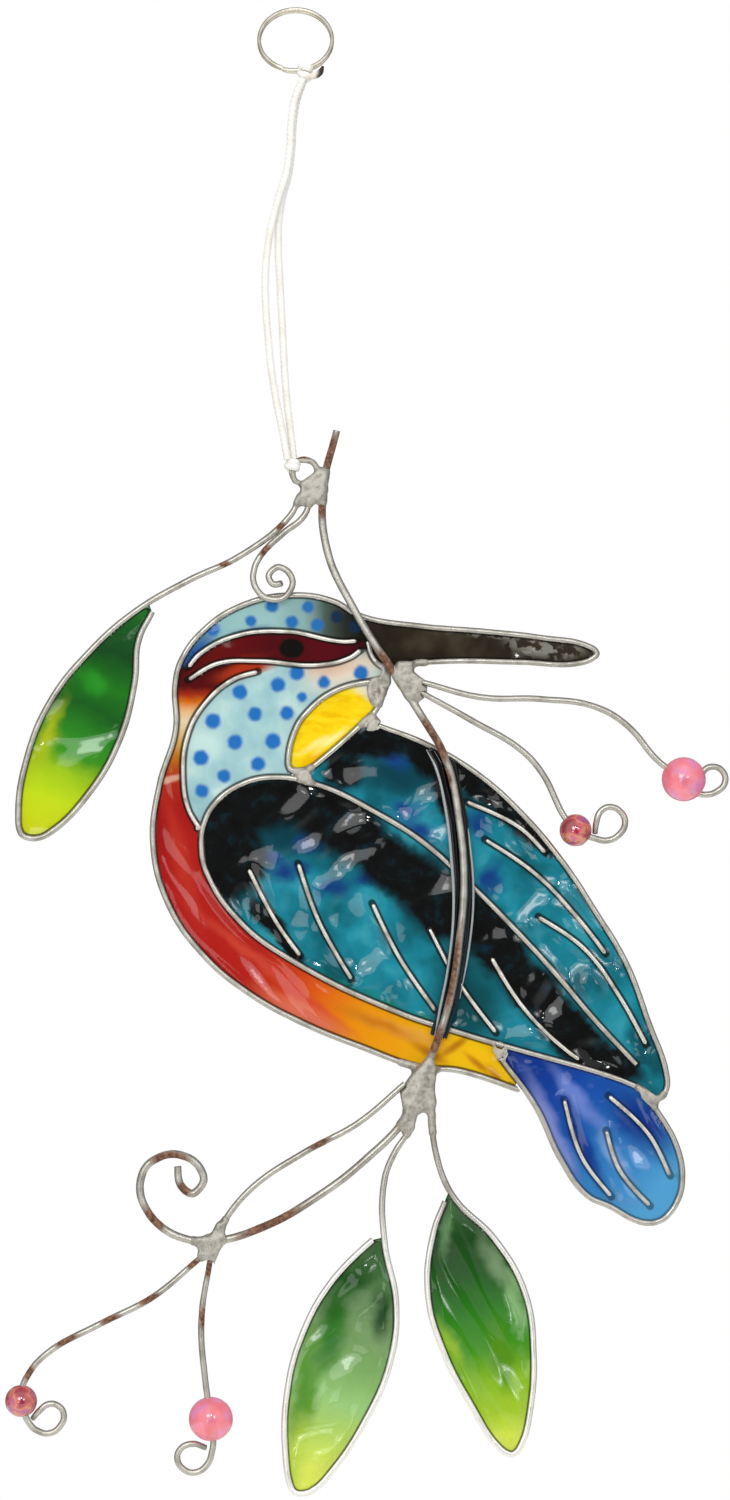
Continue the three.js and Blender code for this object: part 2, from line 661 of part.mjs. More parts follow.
add(
  'tail_wing_solder',
  solder(
    [[82.4, -152.2], [86.4, -153.6], [89.4, -156], [88.6, -159], [86, -159.4], [83.4, -156.8]],
    BIRD, BIRD, [tail, nearWing, farWing], [wingsFilm, tailFilm],
  ),
  TIN,
);
add(
  'bottom_solder',
  solder(
    [
      [30.8, -146], [33.6, -148.6], [33.2, -153.5], [33.2, -158.6], [30.6, -160], [28.6, -161],
      [27.8, -165.4], [25.4, -165.2], [24.6, -160.4], [23.4, -154.4], [26.6, -150.2],
    ],
    TWIG, BIRD, [stem, bodyLine, branch, leftLeaf, rightLeaf], [bodyFilm],
  ),
  TIN,
);
add(
  'lower_solder',
  solder(
    [
      [-21.9, -186.8], [-19.4, -187], [-18.8, -191.4], [-20.6, -194.8], [-22.2, -198.6], [-24.6, -197.4],
      [-27.8, -198.2], [-26.8, -194.6], [-27.8, -190.8], [-23.8, -190.4],
    ],
    TWIG, TWIG, [stem, branch, redLower.bent, pinkLower.bent],
  ),
  TIN,
);

export default group;
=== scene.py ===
# %% [markdown]
# # A suncatcher of wire and poured resin
# A long-billed bird is bent from wire, its cells are filled with glossy coloured resin film, and it sits
# behind a twig of wire with leaves and beads. This lesson dresses the plain solids of the part, which stay
# where they are: every piece below is made in the same place and at the same size.

# %% Load the frame
import math

import bpy
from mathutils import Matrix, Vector, kdtree


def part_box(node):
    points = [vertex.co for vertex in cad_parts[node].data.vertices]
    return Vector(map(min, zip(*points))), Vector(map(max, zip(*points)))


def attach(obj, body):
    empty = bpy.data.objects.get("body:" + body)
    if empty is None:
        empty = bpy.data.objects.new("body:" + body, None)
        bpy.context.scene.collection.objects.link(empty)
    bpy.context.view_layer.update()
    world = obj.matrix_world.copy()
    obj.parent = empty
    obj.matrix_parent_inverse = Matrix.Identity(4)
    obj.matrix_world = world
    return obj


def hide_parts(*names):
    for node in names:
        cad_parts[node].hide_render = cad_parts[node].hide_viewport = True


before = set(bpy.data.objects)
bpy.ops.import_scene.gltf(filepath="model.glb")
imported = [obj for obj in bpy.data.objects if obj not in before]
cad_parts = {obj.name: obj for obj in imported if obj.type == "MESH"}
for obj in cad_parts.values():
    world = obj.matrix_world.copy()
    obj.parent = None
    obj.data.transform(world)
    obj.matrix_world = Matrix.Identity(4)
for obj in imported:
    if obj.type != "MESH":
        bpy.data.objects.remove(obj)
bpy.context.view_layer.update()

MM = 0.001

# %% [markdown]
# The part was drawn in millimetres from the middle of its hanging eye, in two layers: the bird, and the twig
# in front of it. The same drawing is used here, so a colour or a rust spot is placed as the wires were.

# %% The drawing's zero and its layers
EYE_RADIUS = 3.25 * MM
EYE_WIRE = 1.0 * MM
EYE_X = 2.1 * MM
EYE_PIXEL = (304, 472)  # where the photograph shows the drawing's zero
PIXELS = 4  # of the photograph to a millimetre


def middle_y(solid):
    """The depth of a solid's middle."""
    low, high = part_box(solid)
    return (low.y + high.y) / 2


BIRD_Y = middle_y("wings_film")
TWIG_Y = middle_y("branch_wire")
ZERO = Vector((EYE_X, BIRD_Y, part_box("hanging_eye")[1].z - EYE_RADIUS - EYE_WIRE / 2))


def spot(x, z, y=BIRD_Y):
    """The place of a point of the drawing, given in millimetres."""
    return Vector((ZERO.x + x * MM, y, ZERO.z + z * MM))


def px(x, y):
    """A pixel of the photograph as a point of the drawing, in millimetres."""
    return ((x - EYE_PIXEL[0]) / PIXELS, (EYE_PIXEL[1] - y) / PIXELS)


print("drawing's zero:", [round(c / MM, 2) for c in ZERO], "twig at", round(TWIG_Y / MM, 2))

# %% [markdown]
# The camera comes first. The photograph looks straight at the bird from far enough away that nothing is
# foreshortened, so a long lens is used. Its length follows from the height of the view and the distance.

# %% The camera
PHOTO = (730, 1500)
PIXEL = MM / PIXELS
VIEW_MIDDLE = spot(*px(PHOTO[0] / 2, PHOTO[1] / 2))
DISTANCE = 1.5  # metres
SENSOR = 36.0  # millimetres

bpy.ops.object.select_all(action="DESELECT")
bpy.ops.object.camera_add(
    location=VIEW_MIDDLE - Vector((0, DISTANCE, 0)), rotation=(math.radians(90), 0, 0)
)
camera = bpy.context.object
camera.name = "camera"
camera.data.sensor_width = SENSOR
camera.data.lens = SENSOR * DISTANCE / (PHOTO[1] * PIXEL)
bpy.context.scene.camera = camera
print("lens:", round(camera.data.lens, 1), "mm")

# %% [markdown]
# ## Colours and nodes
# Colours are read off real resin, tin and steel as sRGB hex values, and a shader wants linear light, so one
# function turns them. A second one adds a node with its settings and what feeds it, and a third ends a
# material. Everything that is painted is built from these.


# %% Nodes and surfaces
def linear(hex_colour):
    """An sRGB hex colour as linear red, green, blue and alpha."""
    shares = [int(hex_colour[i : i + 2], 16) / 255 for i in (1, 3, 5)]
    return (*[c / 12.92 if c <= 0.04045 else ((c + 0.055) / 1.055) ** 2.4 for c in shares], 1.0)


def put(tree, kind, feeds=(), **settings):
    """Adds a node. feeds gives a socket, by name or number, its value, hex colour or the socket before it."""
    made = tree.nodes.new("ShaderNode" + kind)
    for name, value in settings.items():
        setattr(made, name, value)
    for name, value in dict(feeds).items():
        if isinstance(value, bpy.types.NodeSocket):
            tree.links.new(value, made.inputs[name])
        else:
            made.inputs[name].default_value = linear(value) if isinstance(value, str) else value
    return made


def new_material(name):
    """An empty material, its node tree, and the surface's place in the drawing in millimetres."""
    material = bpy.data.materials.new(name)
    material.use_nodes = True
    tree = material.node_tree
    tree.nodes.clear()
    place = put(tree, "TexCoord").outputs["Object"]
    moved = put(tree, "VectorMath", {0: place, 1: tuple(ZERO)}, operation="SUBTRACT").outputs[0]
    scaled = put(tree, "VectorMath", {0: moved, "Scale": 1 / MM}, operation="SCALE").outputs[0]
    return material, tree, scaled


def surface(tree, feeds, glow=0.0):
    """Ends a material. glow is the share of light of its own colour that comes through from behind."""
    skin = put(tree, "BsdfPrincipled", feeds)
    if glow:
        through = put(tree, "BsdfTranslucent", {"Color": feeds["Base Color"]})
        skin = put(tree, "MixShader", {0: glow, 1: skin.outputs[0], 2: through.outputs[0]})
    put(tree, "OutputMaterial", {"Surface": skin.outputs[0]})


print("a mid grey in linear light:", round(linear("#808080")[0], 3))

# %% [markdown]
# Paint is laid on by masks. A mask is 1 where the paint is and 0 elsewhere, with a soft edge. Hand-dropped
# colour has ragged edges, so a mask is often given a place that a noise has shifted a little.


# %% Masks
def smooth_step(tree, value, start, end, low=0.0, high=1.0):
    """low before start and high after end, smoothly."""
    feeds = {"Value": value, "From Min": start, "From Max": end, "To Min": low, "To Max": high}
    return put(tree, "MapRange", feeds, interpolation_type="SMOOTHSTEP").outputs[0]


def both(tree, one, other):
    """1 where both masks are."""
    return put(tree, "Math", {0: one, 1: other}, operation="MULTIPLY").outputs[0]


def either(tree, one, other):
    """1 where either mask is. The first may be None."""
    if one is None:
        return other
    return put(tree, "Math", {0: one, 1: other}, operation="MAXIMUM").outputs[0]


def split(tree, place):
    """The x, y and z of a place."""
    return put(tree, "SeparateXYZ", {0: place}).outputs


def slanted(tree, place, direction):
    """How far a place lies along a direction of the drawing, given in degrees from the right."""
    turn = math.radians(direction)
    along = (math.cos(turn), 0, math.sin(turn))
    return put(tree, "VectorMath", {0: place, 1: along}, operation="DOT_PRODUCT").outputs["Value"]


def ragged(tree, place, size, shift, seed=0.0):
    """The place shifted by up to shift millimetres, in lumps of about size millimetres."""
    lumps = {"Vector": place, "W": seed, "Scale": 1 / size, "Detail": 2.0}
    noise = put(tree, "TexNoise", lumps, noise_dimensions="4D").outputs["Color"]
    centred = put(tree, "VectorMath", {0: noise, 1: (0.5, 0.5, 0.5)}, operation="SUBTRACT").outputs[0]
    spread = put(tree, "VectorMath", {0: centred, "Scale": 2 * shift}, operation="SCALE").outputs[0]
    return put(tree, "VectorMath", {0: place, 1: spread}, operation="ADD").outputs[0]


def dab_mask(tree, place, middle, radii, turn=0.0, soft=0.5):
    """1 inside an ellipse of the drawing. soft is its soft edge, as a share of its radius."""
    x, z = middle
    across, along = radii
    moved = put(
        tree, "Mapping",
        {"Vector": place, "Location": (x, 0, z), "Rotation": (0, math.radians(-turn), 0),
         "Scale": (across, 1e4, along)},
        vector_type="TEXTURE",
    ).outputs[0]
    away = put(tree, "VectorMath", {0: moved}, operation="LENGTH").outputs["Value"]
    return smooth_step(tree, away, 1 + soft, 1 - soft)


print("masks read the drawing's millimetres")

# %% [markdown]
# The paint itself is one colour, or runs through several, or goes on in dabs of a brush. The dabs are listed
# by the pixel of the photograph where each has its middle, because that is where they were read.


# %% Paint
def blend_colour(tree, share, below, above):
    """A colour between two, by share. Either may be a hex colour."""
    return put(tree, "Mix", {0: share, 6: below, 7: above}, data_type="RGBA").outputs[2]


def ramp(tree, share, stops):
    """A colour that runs through stops of (share, linear colour)."""
    made = put(tree, "ValToRGB", {"Fac": share})
    marks = made.color_ramp.elements
    while len(marks) < len(stops):
        marks.new(0.5)
    for mark, (at, colour) in zip(marks, stops):
        mark.position = at
        mark.color = colour
    return made.outputs["Color"]


def graded(tree, value, stops):
    """A colour that follows value, in millimetres, through stops of (millimetres, hex colour)."""
    first, last = stops[0][0], stops[-1][0]
    share = put(tree, "MapRange", {"Value": value, "From Min": first, "From Max": last}).outputs[0]
    return ramp(tree, share, [((at - first) / (last - first), linear(paint)) for at, paint in stops])


def dabs(tree, place, colour, strokes):
    """Dabs over a colour, each (paint, pixel, radii in millimetres, turn in degrees, softness)."""
    for paint, pixel, radii, turn, soft in strokes:
        mask = dab_mask(tree, place, px(*pixel), radii, turn, soft)
        colour = blend_colour(tree, mask, colour, paint)
    return colour


def blots(tree, place, colour, paint, soft, spots):
    """Many dabs of one paint and softness, each (pixel, pixel, two radii in millimetres, turn)."""
    strokes = [(paint, (x, y), (wide, tall), turn, soft) for x, y, wide, tall, turn in spots]
    return dabs(tree, place, colour, strokes)


print("a pixel is", PIXEL / MM, "mm")

# %% [markdown]
# ## Shaping
# Most pieces start from a copy of their solid. The solid's mesh is loose triangles, so the copy's doubles are
# merged first, and flat faces are dissolved into single ones, as a modeller would want them.

# %% Helpers for shapes
MERGE = 0.002 * MM


def only(piece):
    """Selects this piece and nothing else."""
    if bpy.context.object and bpy.context.object.mode != "OBJECT":
        bpy.ops.object.mode_set(mode="OBJECT")
    bpy.ops.object.select_all(action="DESELECT")
    piece.select_set(True)
    bpy.context.view_layer.objects.active = piece


def edit(piece):
    """Opens a piece in edit mode with all of it selected."""
    only(piece)
    bpy.ops.object.mode_set(mode="EDIT")
    bpy.ops.mesh.select_all(action="SELECT")


def leave():
    """Back to object mode."""
    bpy.ops.object.mode_set(mode="OBJECT")


def copy_of(solid, name):
    """A merged copy of a solid's mesh, as a new piece."""
    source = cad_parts[solid]
    piece = bpy.data.objects.new(name, source.data.copy())
    piece.data.name = name
    piece.data.materials.clear()
    bpy.context.scene.collection.objects.link(piece)
    edit(piece)
    bpy.ops.mesh.remove_doubles(threshold=MERGE)
    bpy.ops.mesh.dissolve_limited(angle_limit=math.radians(0.5))
    leave()
    return piece


def modify(piece, kind, **settings):
    """Adds a modifier to a piece and applies it."""
    only(piece)
    modifier = piece.modifiers.new(kind.lower(), kind)
    for name, value in settings.items():
        setattr(modifier, name, value)
    bpy.ops.object.modifier_apply(modifier=modifier.name)


def finish_piece(piece, material, slot, *solids, angle=50):
    """Gives a piece its finish, and its place in the part. Edges flatter than angle are shaded smooth."""
    piece.data.materials.clear()
    piece.data.materials.append(material)
    only(piece)
    bpy.ops.object.shade_smooth_by_angle(angle=math.radians(angle))
    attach(piece, "root")
    if solids:
        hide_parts(*solids)


print("copies merge points closer than", MERGE / MM, "mm")

# %% [markdown]
# Wires, cords and rims are curves first, because a curve with a round section is the shape of a wire, and it
# can be told how far its ends are drawn in. Each is turned into a mesh before its skin is worked.


# %% Helpers for curves
def in_line(name, points, radius, ends=1.0, sides=12, steps=8):
    """A round wire through points, as a curve. ends is the share of its radius that its cut ends keep."""
    data = bpy.data.curves.new(name, "CURVE")
    data.dimensions = "3D"
    data.bevel_depth = radius
    data.bevel_resolution = sides // 2 - 2
    data.use_fill_caps = True
    data.resolution_u = steps
    spline = data.splines.new("BEZIER")
    spline.bezier_points.add(len(points) - 1)
    for knot, point in zip(spline.bezier_points, points):
        knot.co = point
        knot.handle_left_type = knot.handle_right_type = "AUTO"
    spline.bezier_points[0].radius = spline.bezier_points[-1].radius = ends
    curve = bpy.data.objects.new(name, data)
    bpy.context.scene.collection.objects.link(curve)
    return curve


def to_mesh(curve):
    """The curve as a mesh."""
    only(curve)
    bpy.ops.object.convert(target="MESH")
    return bpy.context.object


def thread_of(curve):
    """The points that a curve runs through, close together."""
    thin = curve.data.copy()
    thin.bevel_depth = 0
    probe = bpy.data.objects.new("probe", thin)
    bpy.context.scene.collection.objects.link(probe)
    mesh = probe.evaluated_get(bpy.context.evaluated_depsgraph_get()).to_mesh()
    line = [v.co.copy() for v in mesh.vertices]
    bpy.data.objects.remove(probe)
    return line


print("curves are ready to bend")

# %% [markdown]
# ## The cord
# A doubled white cord carries everything. A cord this thin and limp hangs straight but for the slight bow
# that it keeps from its packing, so the points of its route are the ones of the solid.

# %% The cord's route
CORD = 1.9 * MM
CORD_DROP = 98.3 * MM
RING_OUTER = 19.25 * MM
RING_BAND = 1.0 * MM
RING_COIL = 1.0 * MM
RING_LEAN = math.radians(28)
KNOT_ANGLE = math.radians(152)
GAP = 0.3 * MM
knot_down = RING_OUTER - 1.5 * RING_BAND
KNOT_TOP = Vector((2.4 * MM, -knot_down * math.sin(RING_LEAN), -knot_down * math.cos(RING_LEAN)))
KNOT_BOTTOM = Vector((ZERO.x, TWIG_Y, ZERO.z)) + EYE_RADIUS * Vector(
    (math.cos(KNOT_ANGLE), 0, math.sin(KNOT_ANGLE))
)

# Sideways in millimetres, and height as a percentage of the way up from the bottom knot to the top one
LEFT_STRAND = [
    (-0.2, 98), (-2.4, 92), (-3.2, 86), (-3.5, 80.5), (-4.4, 74), (-6.2, 68), (-7.8, 62), (-9, 55),
    (-9.6, 47), (-9.4, 39), (-8.8, 31.5), (-8, 23.5), (-6.8, 16), (-5.4, 9), (-4.1, 1.4),
]
RIGHT_STRAND = [
    (0, 98), (-1.9, 92), (-2.7, 86), (-3, 80.5), (-3.8, 74), (-5.2, 68.5), (-6.2, 62.5), (-6.4, 55),
    (-6, 47), (-5.6, 39), (-5.2, 31.5), (-4.8, 23.5), (-4.2, 16), (-3.4, 9), (-2.5, 1.4),
]


def route(strand, side):
    """A strand's points. side is -1 for the one in front."""
    points = []
    for x, percent in strand:
        up = percent / 100
        y = TWIG_Y + (KNOT_TOP.y - TWIG_Y) * up + side * (CORD / 2 + GAP)
        z = KNOT_TOP.z - CORD_DROP * (1 - up)
        points.append(Vector((EYE_X + x * MM, y, z)))
    return points


print("knots at", [[round(c / MM, 1) for c in knot] for knot in (KNOT_TOP, KNOT_BOTTOM)])

# %% [markdown]
# Cotton cord scatters light softly and has a faint halo of loose fibre, which is sheen. Its yarns show as
# shade in their grooves, which the geometry gives, and as a fine fuzz, which is bump from a noise.

# %% Waxed cotton
FIBRE = 0.12  # millimetres between fibres, about twice the real spacing so that they show
SOILED = 6.0  # millimetres from one faintly soiled stretch to the next

cotton, tree, place = new_material("waxed_cotton_cord")
fuzz = put(tree, "TexNoise", {"Vector": place, "Scale": 1 / FIBRE, "Detail": 3.0}).outputs["Fac"]
soiling = put(tree, "TexNoise", {"Vector": place, "Scale": 1 / SOILED, "Detail": 2.0}).outputs["Fac"]
bump = put(tree, "Bump", {"Height": fuzz, "Strength": 0.25, "Distance": 0.05 * MM}).outputs[0]
surface(tree, {
    "Base Color": blend_colour(tree, smooth_step(tree, soiling, 0.45, 0.7), "#f8f6f1", "#f0ece2"),
    "Roughness": 0.85, "Normal": bump, "Sheen Weight": 0.4, "Sheen Roughness": 0.5,
})
print("cotton fibres every", FIBRE, "mm")

# %% [markdown]
# The cord is laid from three yarns. That is a section with three lobes that turns on its way, which shows as
# fine slanting lines. It could be three wound curves, but one tube with a worked skin has no inner faces.

# %% The two strands
LAY = 3.6 * MM  # length of one turn of the yarns
LOBES = 3
LOBE_DEPTH = 0.12  # share of the radius


def laid_cord(name, points):
    """A cord of twisted yarns: a round tube whose skin is pushed in and out along a screw line."""
    curve = in_line(name, points, CORD / 2, sides=24, steps=24)
    line = thread_of(curve)
    cord = to_mesh(curve)
    near = kdtree.KDTree(len(line))
    run = [0.0]
    for i, point in enumerate(line):
        near.insert(point, i)
        if i:
            run.append(run[-1] + (point - line[i - 1]).length)
    near.balance()
    for vertex in cord.data.vertices:
        centre, i, _ = near.find(vertex.co)
        out = vertex.co - centre
        turned = math.atan2(out.y, out.x) - 2 * math.pi * run[i] / LAY
        vertex.co = centre + out * (1 - LOBE_DEPTH * (0.5 - 0.5 * math.cos(LOBES * turned)))
    return cord, line


for name, strand, side in (("cord_left", LEFT_STRAND, -1), ("cord_right", RIGHT_STRAND, 1)):
    cord, line = laid_cord(name + "_laid", route(strand, side))
    finish_piece(cord, cotton, "white_cord", name, angle=80)

# %% [markdown]
# ## The wires
# Every wire of the bird and the twig is drawn steel, bent by hand over a pattern. Its solid is a tube of few
# sides, and the middles of that tube's rings lie on the wire's own line. So the rings are found one after
# the other, starting from a flat end, and a smooth round wire is drawn through their middles.

# %% A wire's line, read from its solid
TUBE_SIDES = 6
EVEN = 1.04  # corners that differ by less than this factor are equally far


def is_regular(mesh, face):
    """True if a face's corners are all as far from its middle."""
    away = [(mesh.vertices[i].co - face.center).length for i in face.vertices]
    return max(away) < EVEN * min(away)


def rings_of(solid):
    """The middles of the rings of a tube, from one end to the other, and the tube's radius."""
    probe = copy_of(solid, "probe")
    mesh = probe.data
    neighbours = [set() for _ in mesh.vertices]
    for edge in mesh.edges:
        a, b = edge.vertices
        neighbours[a].add(b)
        neighbours[b].add(a)
    caps = [face for face in mesh.polygons if len(face.vertices) == TUBE_SIDES and is_regular(mesh, face)]
    end = min(caps, key=lambda face: face.area)
    ring = set(end.vertices)
    seen = set(ring)
    middles = []
    while ring:
        middles.append(sum((mesh.vertices[i].co for i in ring), Vector()) / len(ring))
        ring = {n for i in ring for n in neighbours[i]} - seen
        seen |= ring
    radius = sum((mesh.vertices[i].co - middles[0]).length for i in end.vertices) / TUBE_SIDES
    bpy.data.objects.remove(probe)
    return middles, radius


WIRES = [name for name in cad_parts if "_wire" in name or "_vein" in name] + ["hanging_eye"]
lines = {name: rings_of(name) for name in WIRES}
print({name: (len(middles), round(radius / MM, 2)) for name, (middles, radius) in lines.items()})

# %% [markdown]
# Steel wire for soldering is tinned: a thin coat of tin, which is a soft pale grey metal with a slightly
# yellow cast. It is bright where it is smooth, dull where the iron took it off, and where it missed a spot
# the steel has rusted. So one material has three layers, and every wire tells it where its rust is. The
# leaf wires also get a painted highlight: their tin is painted paler towards their lower ends.

# %% Tinned steel
DULL_TIN = "#a5a197"
# Painted highlight: the paler tin that the lower leaf wires are painted with.
PAINTED_HIGHLIGHT_TIN = "#f8f6f0"
GRIME = "#4a443e"
RUST_BROWNS = [(0.3, "#40281e"), (0.5, "#74503c"), (0.72, "#9a7258")]


def tinned_steel(name, rust=(), tarnish=0.2, tin="#c8c5bc", painted_highlight_below=None):
    """Tinned wire. rust gives spots of the drawing as (middle, radii, turn).

    The last argument gives two depths in millimetres over which the tin is painted paler towards the bottom:
    a painted highlight, where the lower wires catch the light.
    """
    material, tree, place = new_material(name)
    loose = ragged(tree, place, 1.2, 0.5)
    patches = put(tree, "TexNoise", {"Vector": place, "Scale": 1 / 5.0, "Detail": 4.0, "Roughness": 0.6})
    wear = patches.outputs["Fac"]
    colour = blend_colour(tree, smooth_step(tree, wear, 0.4, 0.7), tin, DULL_TIN)
    # Painted highlight: below the given depths the tin is painted paler, for the light that the lower wires
    # catch.
    if painted_highlight_below:
        below = smooth_step(tree, slanted(tree, place, -90), *painted_highlight_below)
        colour = blend_colour(tree, below, colour, PAINTED_HIGHLIGHT_TIN)
    grit = put(tree, "TexNoise", {"Vector": place, "Scale": 1 / 0.5, "Detail": 3.0}).outputs["Fac"]
    dark = smooth_step(tree, grit, 0.62, 0.74, 0.0, tarnish)
    colour = blend_colour(tree, dark, colour, GRIME)
    feeds = {"Metallic": 1.0, "Roughness": smooth_step(tree, wear, 0.35, 0.7, 0.3, 0.5)}
    rusted = None
    for middle, radii, turn in rust:
        rusted = either(tree, rusted, dab_mask(tree, loose, middle, radii, turn, 0.45))
    if rusted is not None:
        scale = put(tree, "TexNoise", {"Vector": place, "Scale": 1 / 0.8, "Detail": 4.0}).outputs["Fac"]
        colour = blend_colour(tree, rusted, colour, graded(tree, scale, RUST_BROWNS))
        feeds["Metallic"] = smooth_step(tree, rusted, 0.2, 0.8, 1.0, 0.15)
        feeds["Roughness"] = smooth_step(tree, rusted, 0.2, 0.9, 0.38, 0.75)
    height = put(tree, "Math", {0: wear, 1: grit}, operation="ADD").outputs[0]
    bump = put(tree, "Bump", {"Height": height, "Strength": 0.25, "Distance": 0.1 * MM}).outputs[0]
    surface(tree, {**feeds, "Base Color": colour, "Normal": bump})
    return material


RUST = {
    "stem_wire": [
        ((6.6, 4.6), (3.4, 6.4), 20), ((4.9, -9.4), (1.6, 2.6), 0), ((21.5, -49), (1.8, 5.5), 35),
        ((31.6, -65.5), (1.6, 5), 30), ((34, -69.5), (1.6, 3.4), 20), ((35.5, -76.5), (1.4, 2.6), 15),
        ((37.2, -125), (1.1, 11), -9), ((33, -142), (1.8, 4.2), -20), ((26, -160), (1.7, 4), -30),
        ((-8, -187.5), (9, 2), 25), ((-37.5, -186.5), (4, 3.4), 0), ((-33.5, -171.4), (5, 2), 0),
        ((-30, -179), (2, 2), 0),
    ],
    "hanging_eye": [((-1.8, 3.2), (3.4, 1.2), 10), ((-2.9, -2.2), (1.4, 1.4), 0)],
    "red_lower_bead_wire": [
        ((-28, -197.6), (2.2, 1.4), 0), ((-38.5, -206.4), (3.2, 1.2), 20), ((-48.2, -211.6), (2.6, 1.2), 20),
        ((-59.4, -216.8), (3, 1.2), 25), ((-68.5, -225), (1.4, 2.4), 0),
    ],
    "pink_lower_bead_wire": [((-23.8, -199), (1.2, 2.4), 0), ((-25, -211.2), (1.2, 3), 0)],
    "curl_wire": [((-9.6, -20), (1.4, 2), 0)],
    "upper_leaf_wire": [((-20, -23), (3, 1), -25), ((-6, -13.6), (2, 1.2), -40)],
    "branch_wire": [((4, -167.6), (3, 1), 30)],
}
plain_wire = tinned_steel("tinned_steel_wire")
inner_wire = tinned_steel("tinned_steel_wire_in_film", tarnish=0.1, tin="#e2dfd6")
# The leaf wires carry a painted highlight: their tin is painted paler towards their lower ends.
leaf_wire = tinned_steel("tinned_leaf_wire_painted_highlight", tarnish=0.04, painted_highlight_below=(178, 196))
wire_finish = {name: leaf_wire for name in ("left_leaf_wire", "right_leaf_wire")}
wire_finish |= {name: tinned_steel("tinned_and_rusted_" + name, spots, 0.5) for name, spots in RUST.items()}
print("wire finishes:", len({plain_wire, inner_wire, *wire_finish.values()}))

# %% [markdown]
# Each bead is kept on its wire by a loop, which the wire closes until it touches itself. Its solid is an
# open spiral, so the wire's line is followed as far as the bead and then round the loop of the photograph.

# %% The loops behind the beads
LOOPS = {  # pixels of the photograph
    "red_upper_bead": [(596, 838.6), (606, 840.4), (618, 835), (624.6, 823), (620, 811.6), (609, 807),
                       (600, 811.4), (596, 822), (594.6, 833)],
    "pink_upper_bead": [(695, 792), (705, 794.6), (717, 791), (724.4, 782), (722, 771.4), (712, 766.6),
                        (703, 771), (700.6, 780), (700, 788.6)],
    "red_lower_bead": [(31, 1423.6), (39, 1430), (50, 1432), (61, 1424.6), (64.4, 1413.6), (58.6, 1404.6),
                       (49, 1403), (39.6, 1410), (33, 1418)],
    "pink_lower_bead": [(213.6, 1440), (212.6, 1449), (207.6, 1463), (196, 1471), (184, 1468),
                        (177.6, 1457), (182, 1446.6), (193, 1442.6), (206, 1447)],
}
LOOP_LIES_BEHIND = 1.6  # times the wire's radius, where it comes back to itself


def nearest_middle(middles, bead_name):
    """Which of a wire's middles is nearest to the middle of its bead, and how far away it is."""
    low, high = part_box(bead_name)
    away = [(middle - (low + high) / 2).length for middle in middles]
    return away.index(min(away)), away


def closed_loop(bead_name, middles, radius):
    """The wire's line up to its bead, and from there round the loop to where it touches itself again."""
    nearest, away = nearest_middle(middles, bead_name)
    if away[0] < away[-1]:
        middles = middles[::-1]
        nearest = len(middles) - 1 - nearest
    loop = [spot(*px(x, y), y=TWIG_Y) for x, y in LOOPS[bead_name]]
    loop[-1].y += LOOP_LIES_BEHIND * radius
    return middles[: nearest + 1] + loop


print("loops:", len(LOOPS))

# %% [markdown]
# The wire itself: a curve with a round section through the rings' middles. It is turned into a mesh, and a
# cloud-like displacement of a few hundredths of a millimetre makes it look bent by hand and dipped in tin
# rather than moulded. A wire inside a film ends in a small blob of tin, so its ends are drawn in.

# %% Bend the wires
IN_FILM = ("vein", "stripe", "cheek", "beak_base")
TINNING = 0.12 * MM  # of tin on a wire inside a film, so that it stands out of the resin
UNEVEN = 0.1 * MM

uneven = bpy.data.textures.new("uneven_tin", "CLOUDS")
uneven.noise_scale = 3 * MM
uneven.noise_depth = 2


def rounded_ends(middles, radius):
    """A wire's line with a stop just before each end, so that only the very end is drawn in."""
    first = middles[0] + (middles[1] - middles[0]).normalized() * radius
    last = middles[-1] + (middles[-2] - middles[-1]).normalized() * radius
    return [middles[0], first, *middles[1:-1], last, middles[-1]]


threads = {}
faces = 0
for solid, (middles, radius) in lines.items():
    inside = any(word in solid for word in IN_FILM)
    if solid.removesuffix("_wire") in LOOPS:
        middles = closed_loop(solid.removesuffix("_wire"), middles, radius)
    if inside:
        radius += TINNING
        middles = rounded_ends(middles, radius)
    curve = in_line(solid + "_bent", middles, radius, ends=0.5 if inside else 0.9, sides=14, steps=10)
    threads[solid] = thread_of(curve)
    wire = to_mesh(curve)
    modify(wire, "DISPLACE", texture=uneven, texture_coords="LOCAL", strength=UNEVEN, mid_level=0.5)
    material = wire_finish.get(solid, inner_wire if inside else plain_wire)
    slot = "rusted_wire" if solid == "stem_wire" else "tinned_wire"
    finish_piece(wire, material, slot, solid, angle=60)
    faces += len(wire.data.polygons)
print(len(threads), "wires,", faces, "faces")

# %% [markdown]
# ## The resin films
# Each cell was filled with a coloured resin that sets as a thin sheet and clings to the middle of the wires
# round it. Its solid stops short of them, so here its walls are drawn to the nearest wire. Where a wire
# inside the film ends close to another, the solid leaves a corner open, and small discs of resin fill it.

# %% A film's edges
FILM = 0.9 * MM
HOLD = 1.8 * MM  # how far a wall may be from the wire that holds it
CORNER = 2.4 * MM  # gaps up to this wide beside an inner wire's end are filled
OVERLAP = 0.2 * MM  # of a corner's disc over the wire beside it
STEP = 0.2 * MM  # between the points that stand for a wire
LAYER = 1.5 * MM  # wires within this depth lie in the same layer


def wall_points(mesh):
    """The corners of a film's side walls."""
    return {i for face in mesh.polygons if abs(face.normal.y) < 0.5 for i in face.vertices}


def wire_tree(y, but=None):
    """The middles of the wires of one layer, without their depth, in a tree that finds the nearest."""
    points = []
    for name, thread in threads.items():
        if name == but or abs(middle_y(name) - y) > LAYER:
            continue
        for a, b in zip(thread, thread[1:]):
            count = math.ceil((b - a).length / STEP) or 1
            points += [a.lerp(b, i / count) for i in range(count)]
    tree = kdtree.KDTree(len(points))
    for i, point in enumerate(points):
        tree.insert((point.x, 0, point.z), i)
    tree.balance()
    return tree


def from_wires(wires, point):
    """The nearest wire's middle to a point, and how far away it is."""
    at, _, away = wires.find((point.x, 0, point.z))
    return at, away


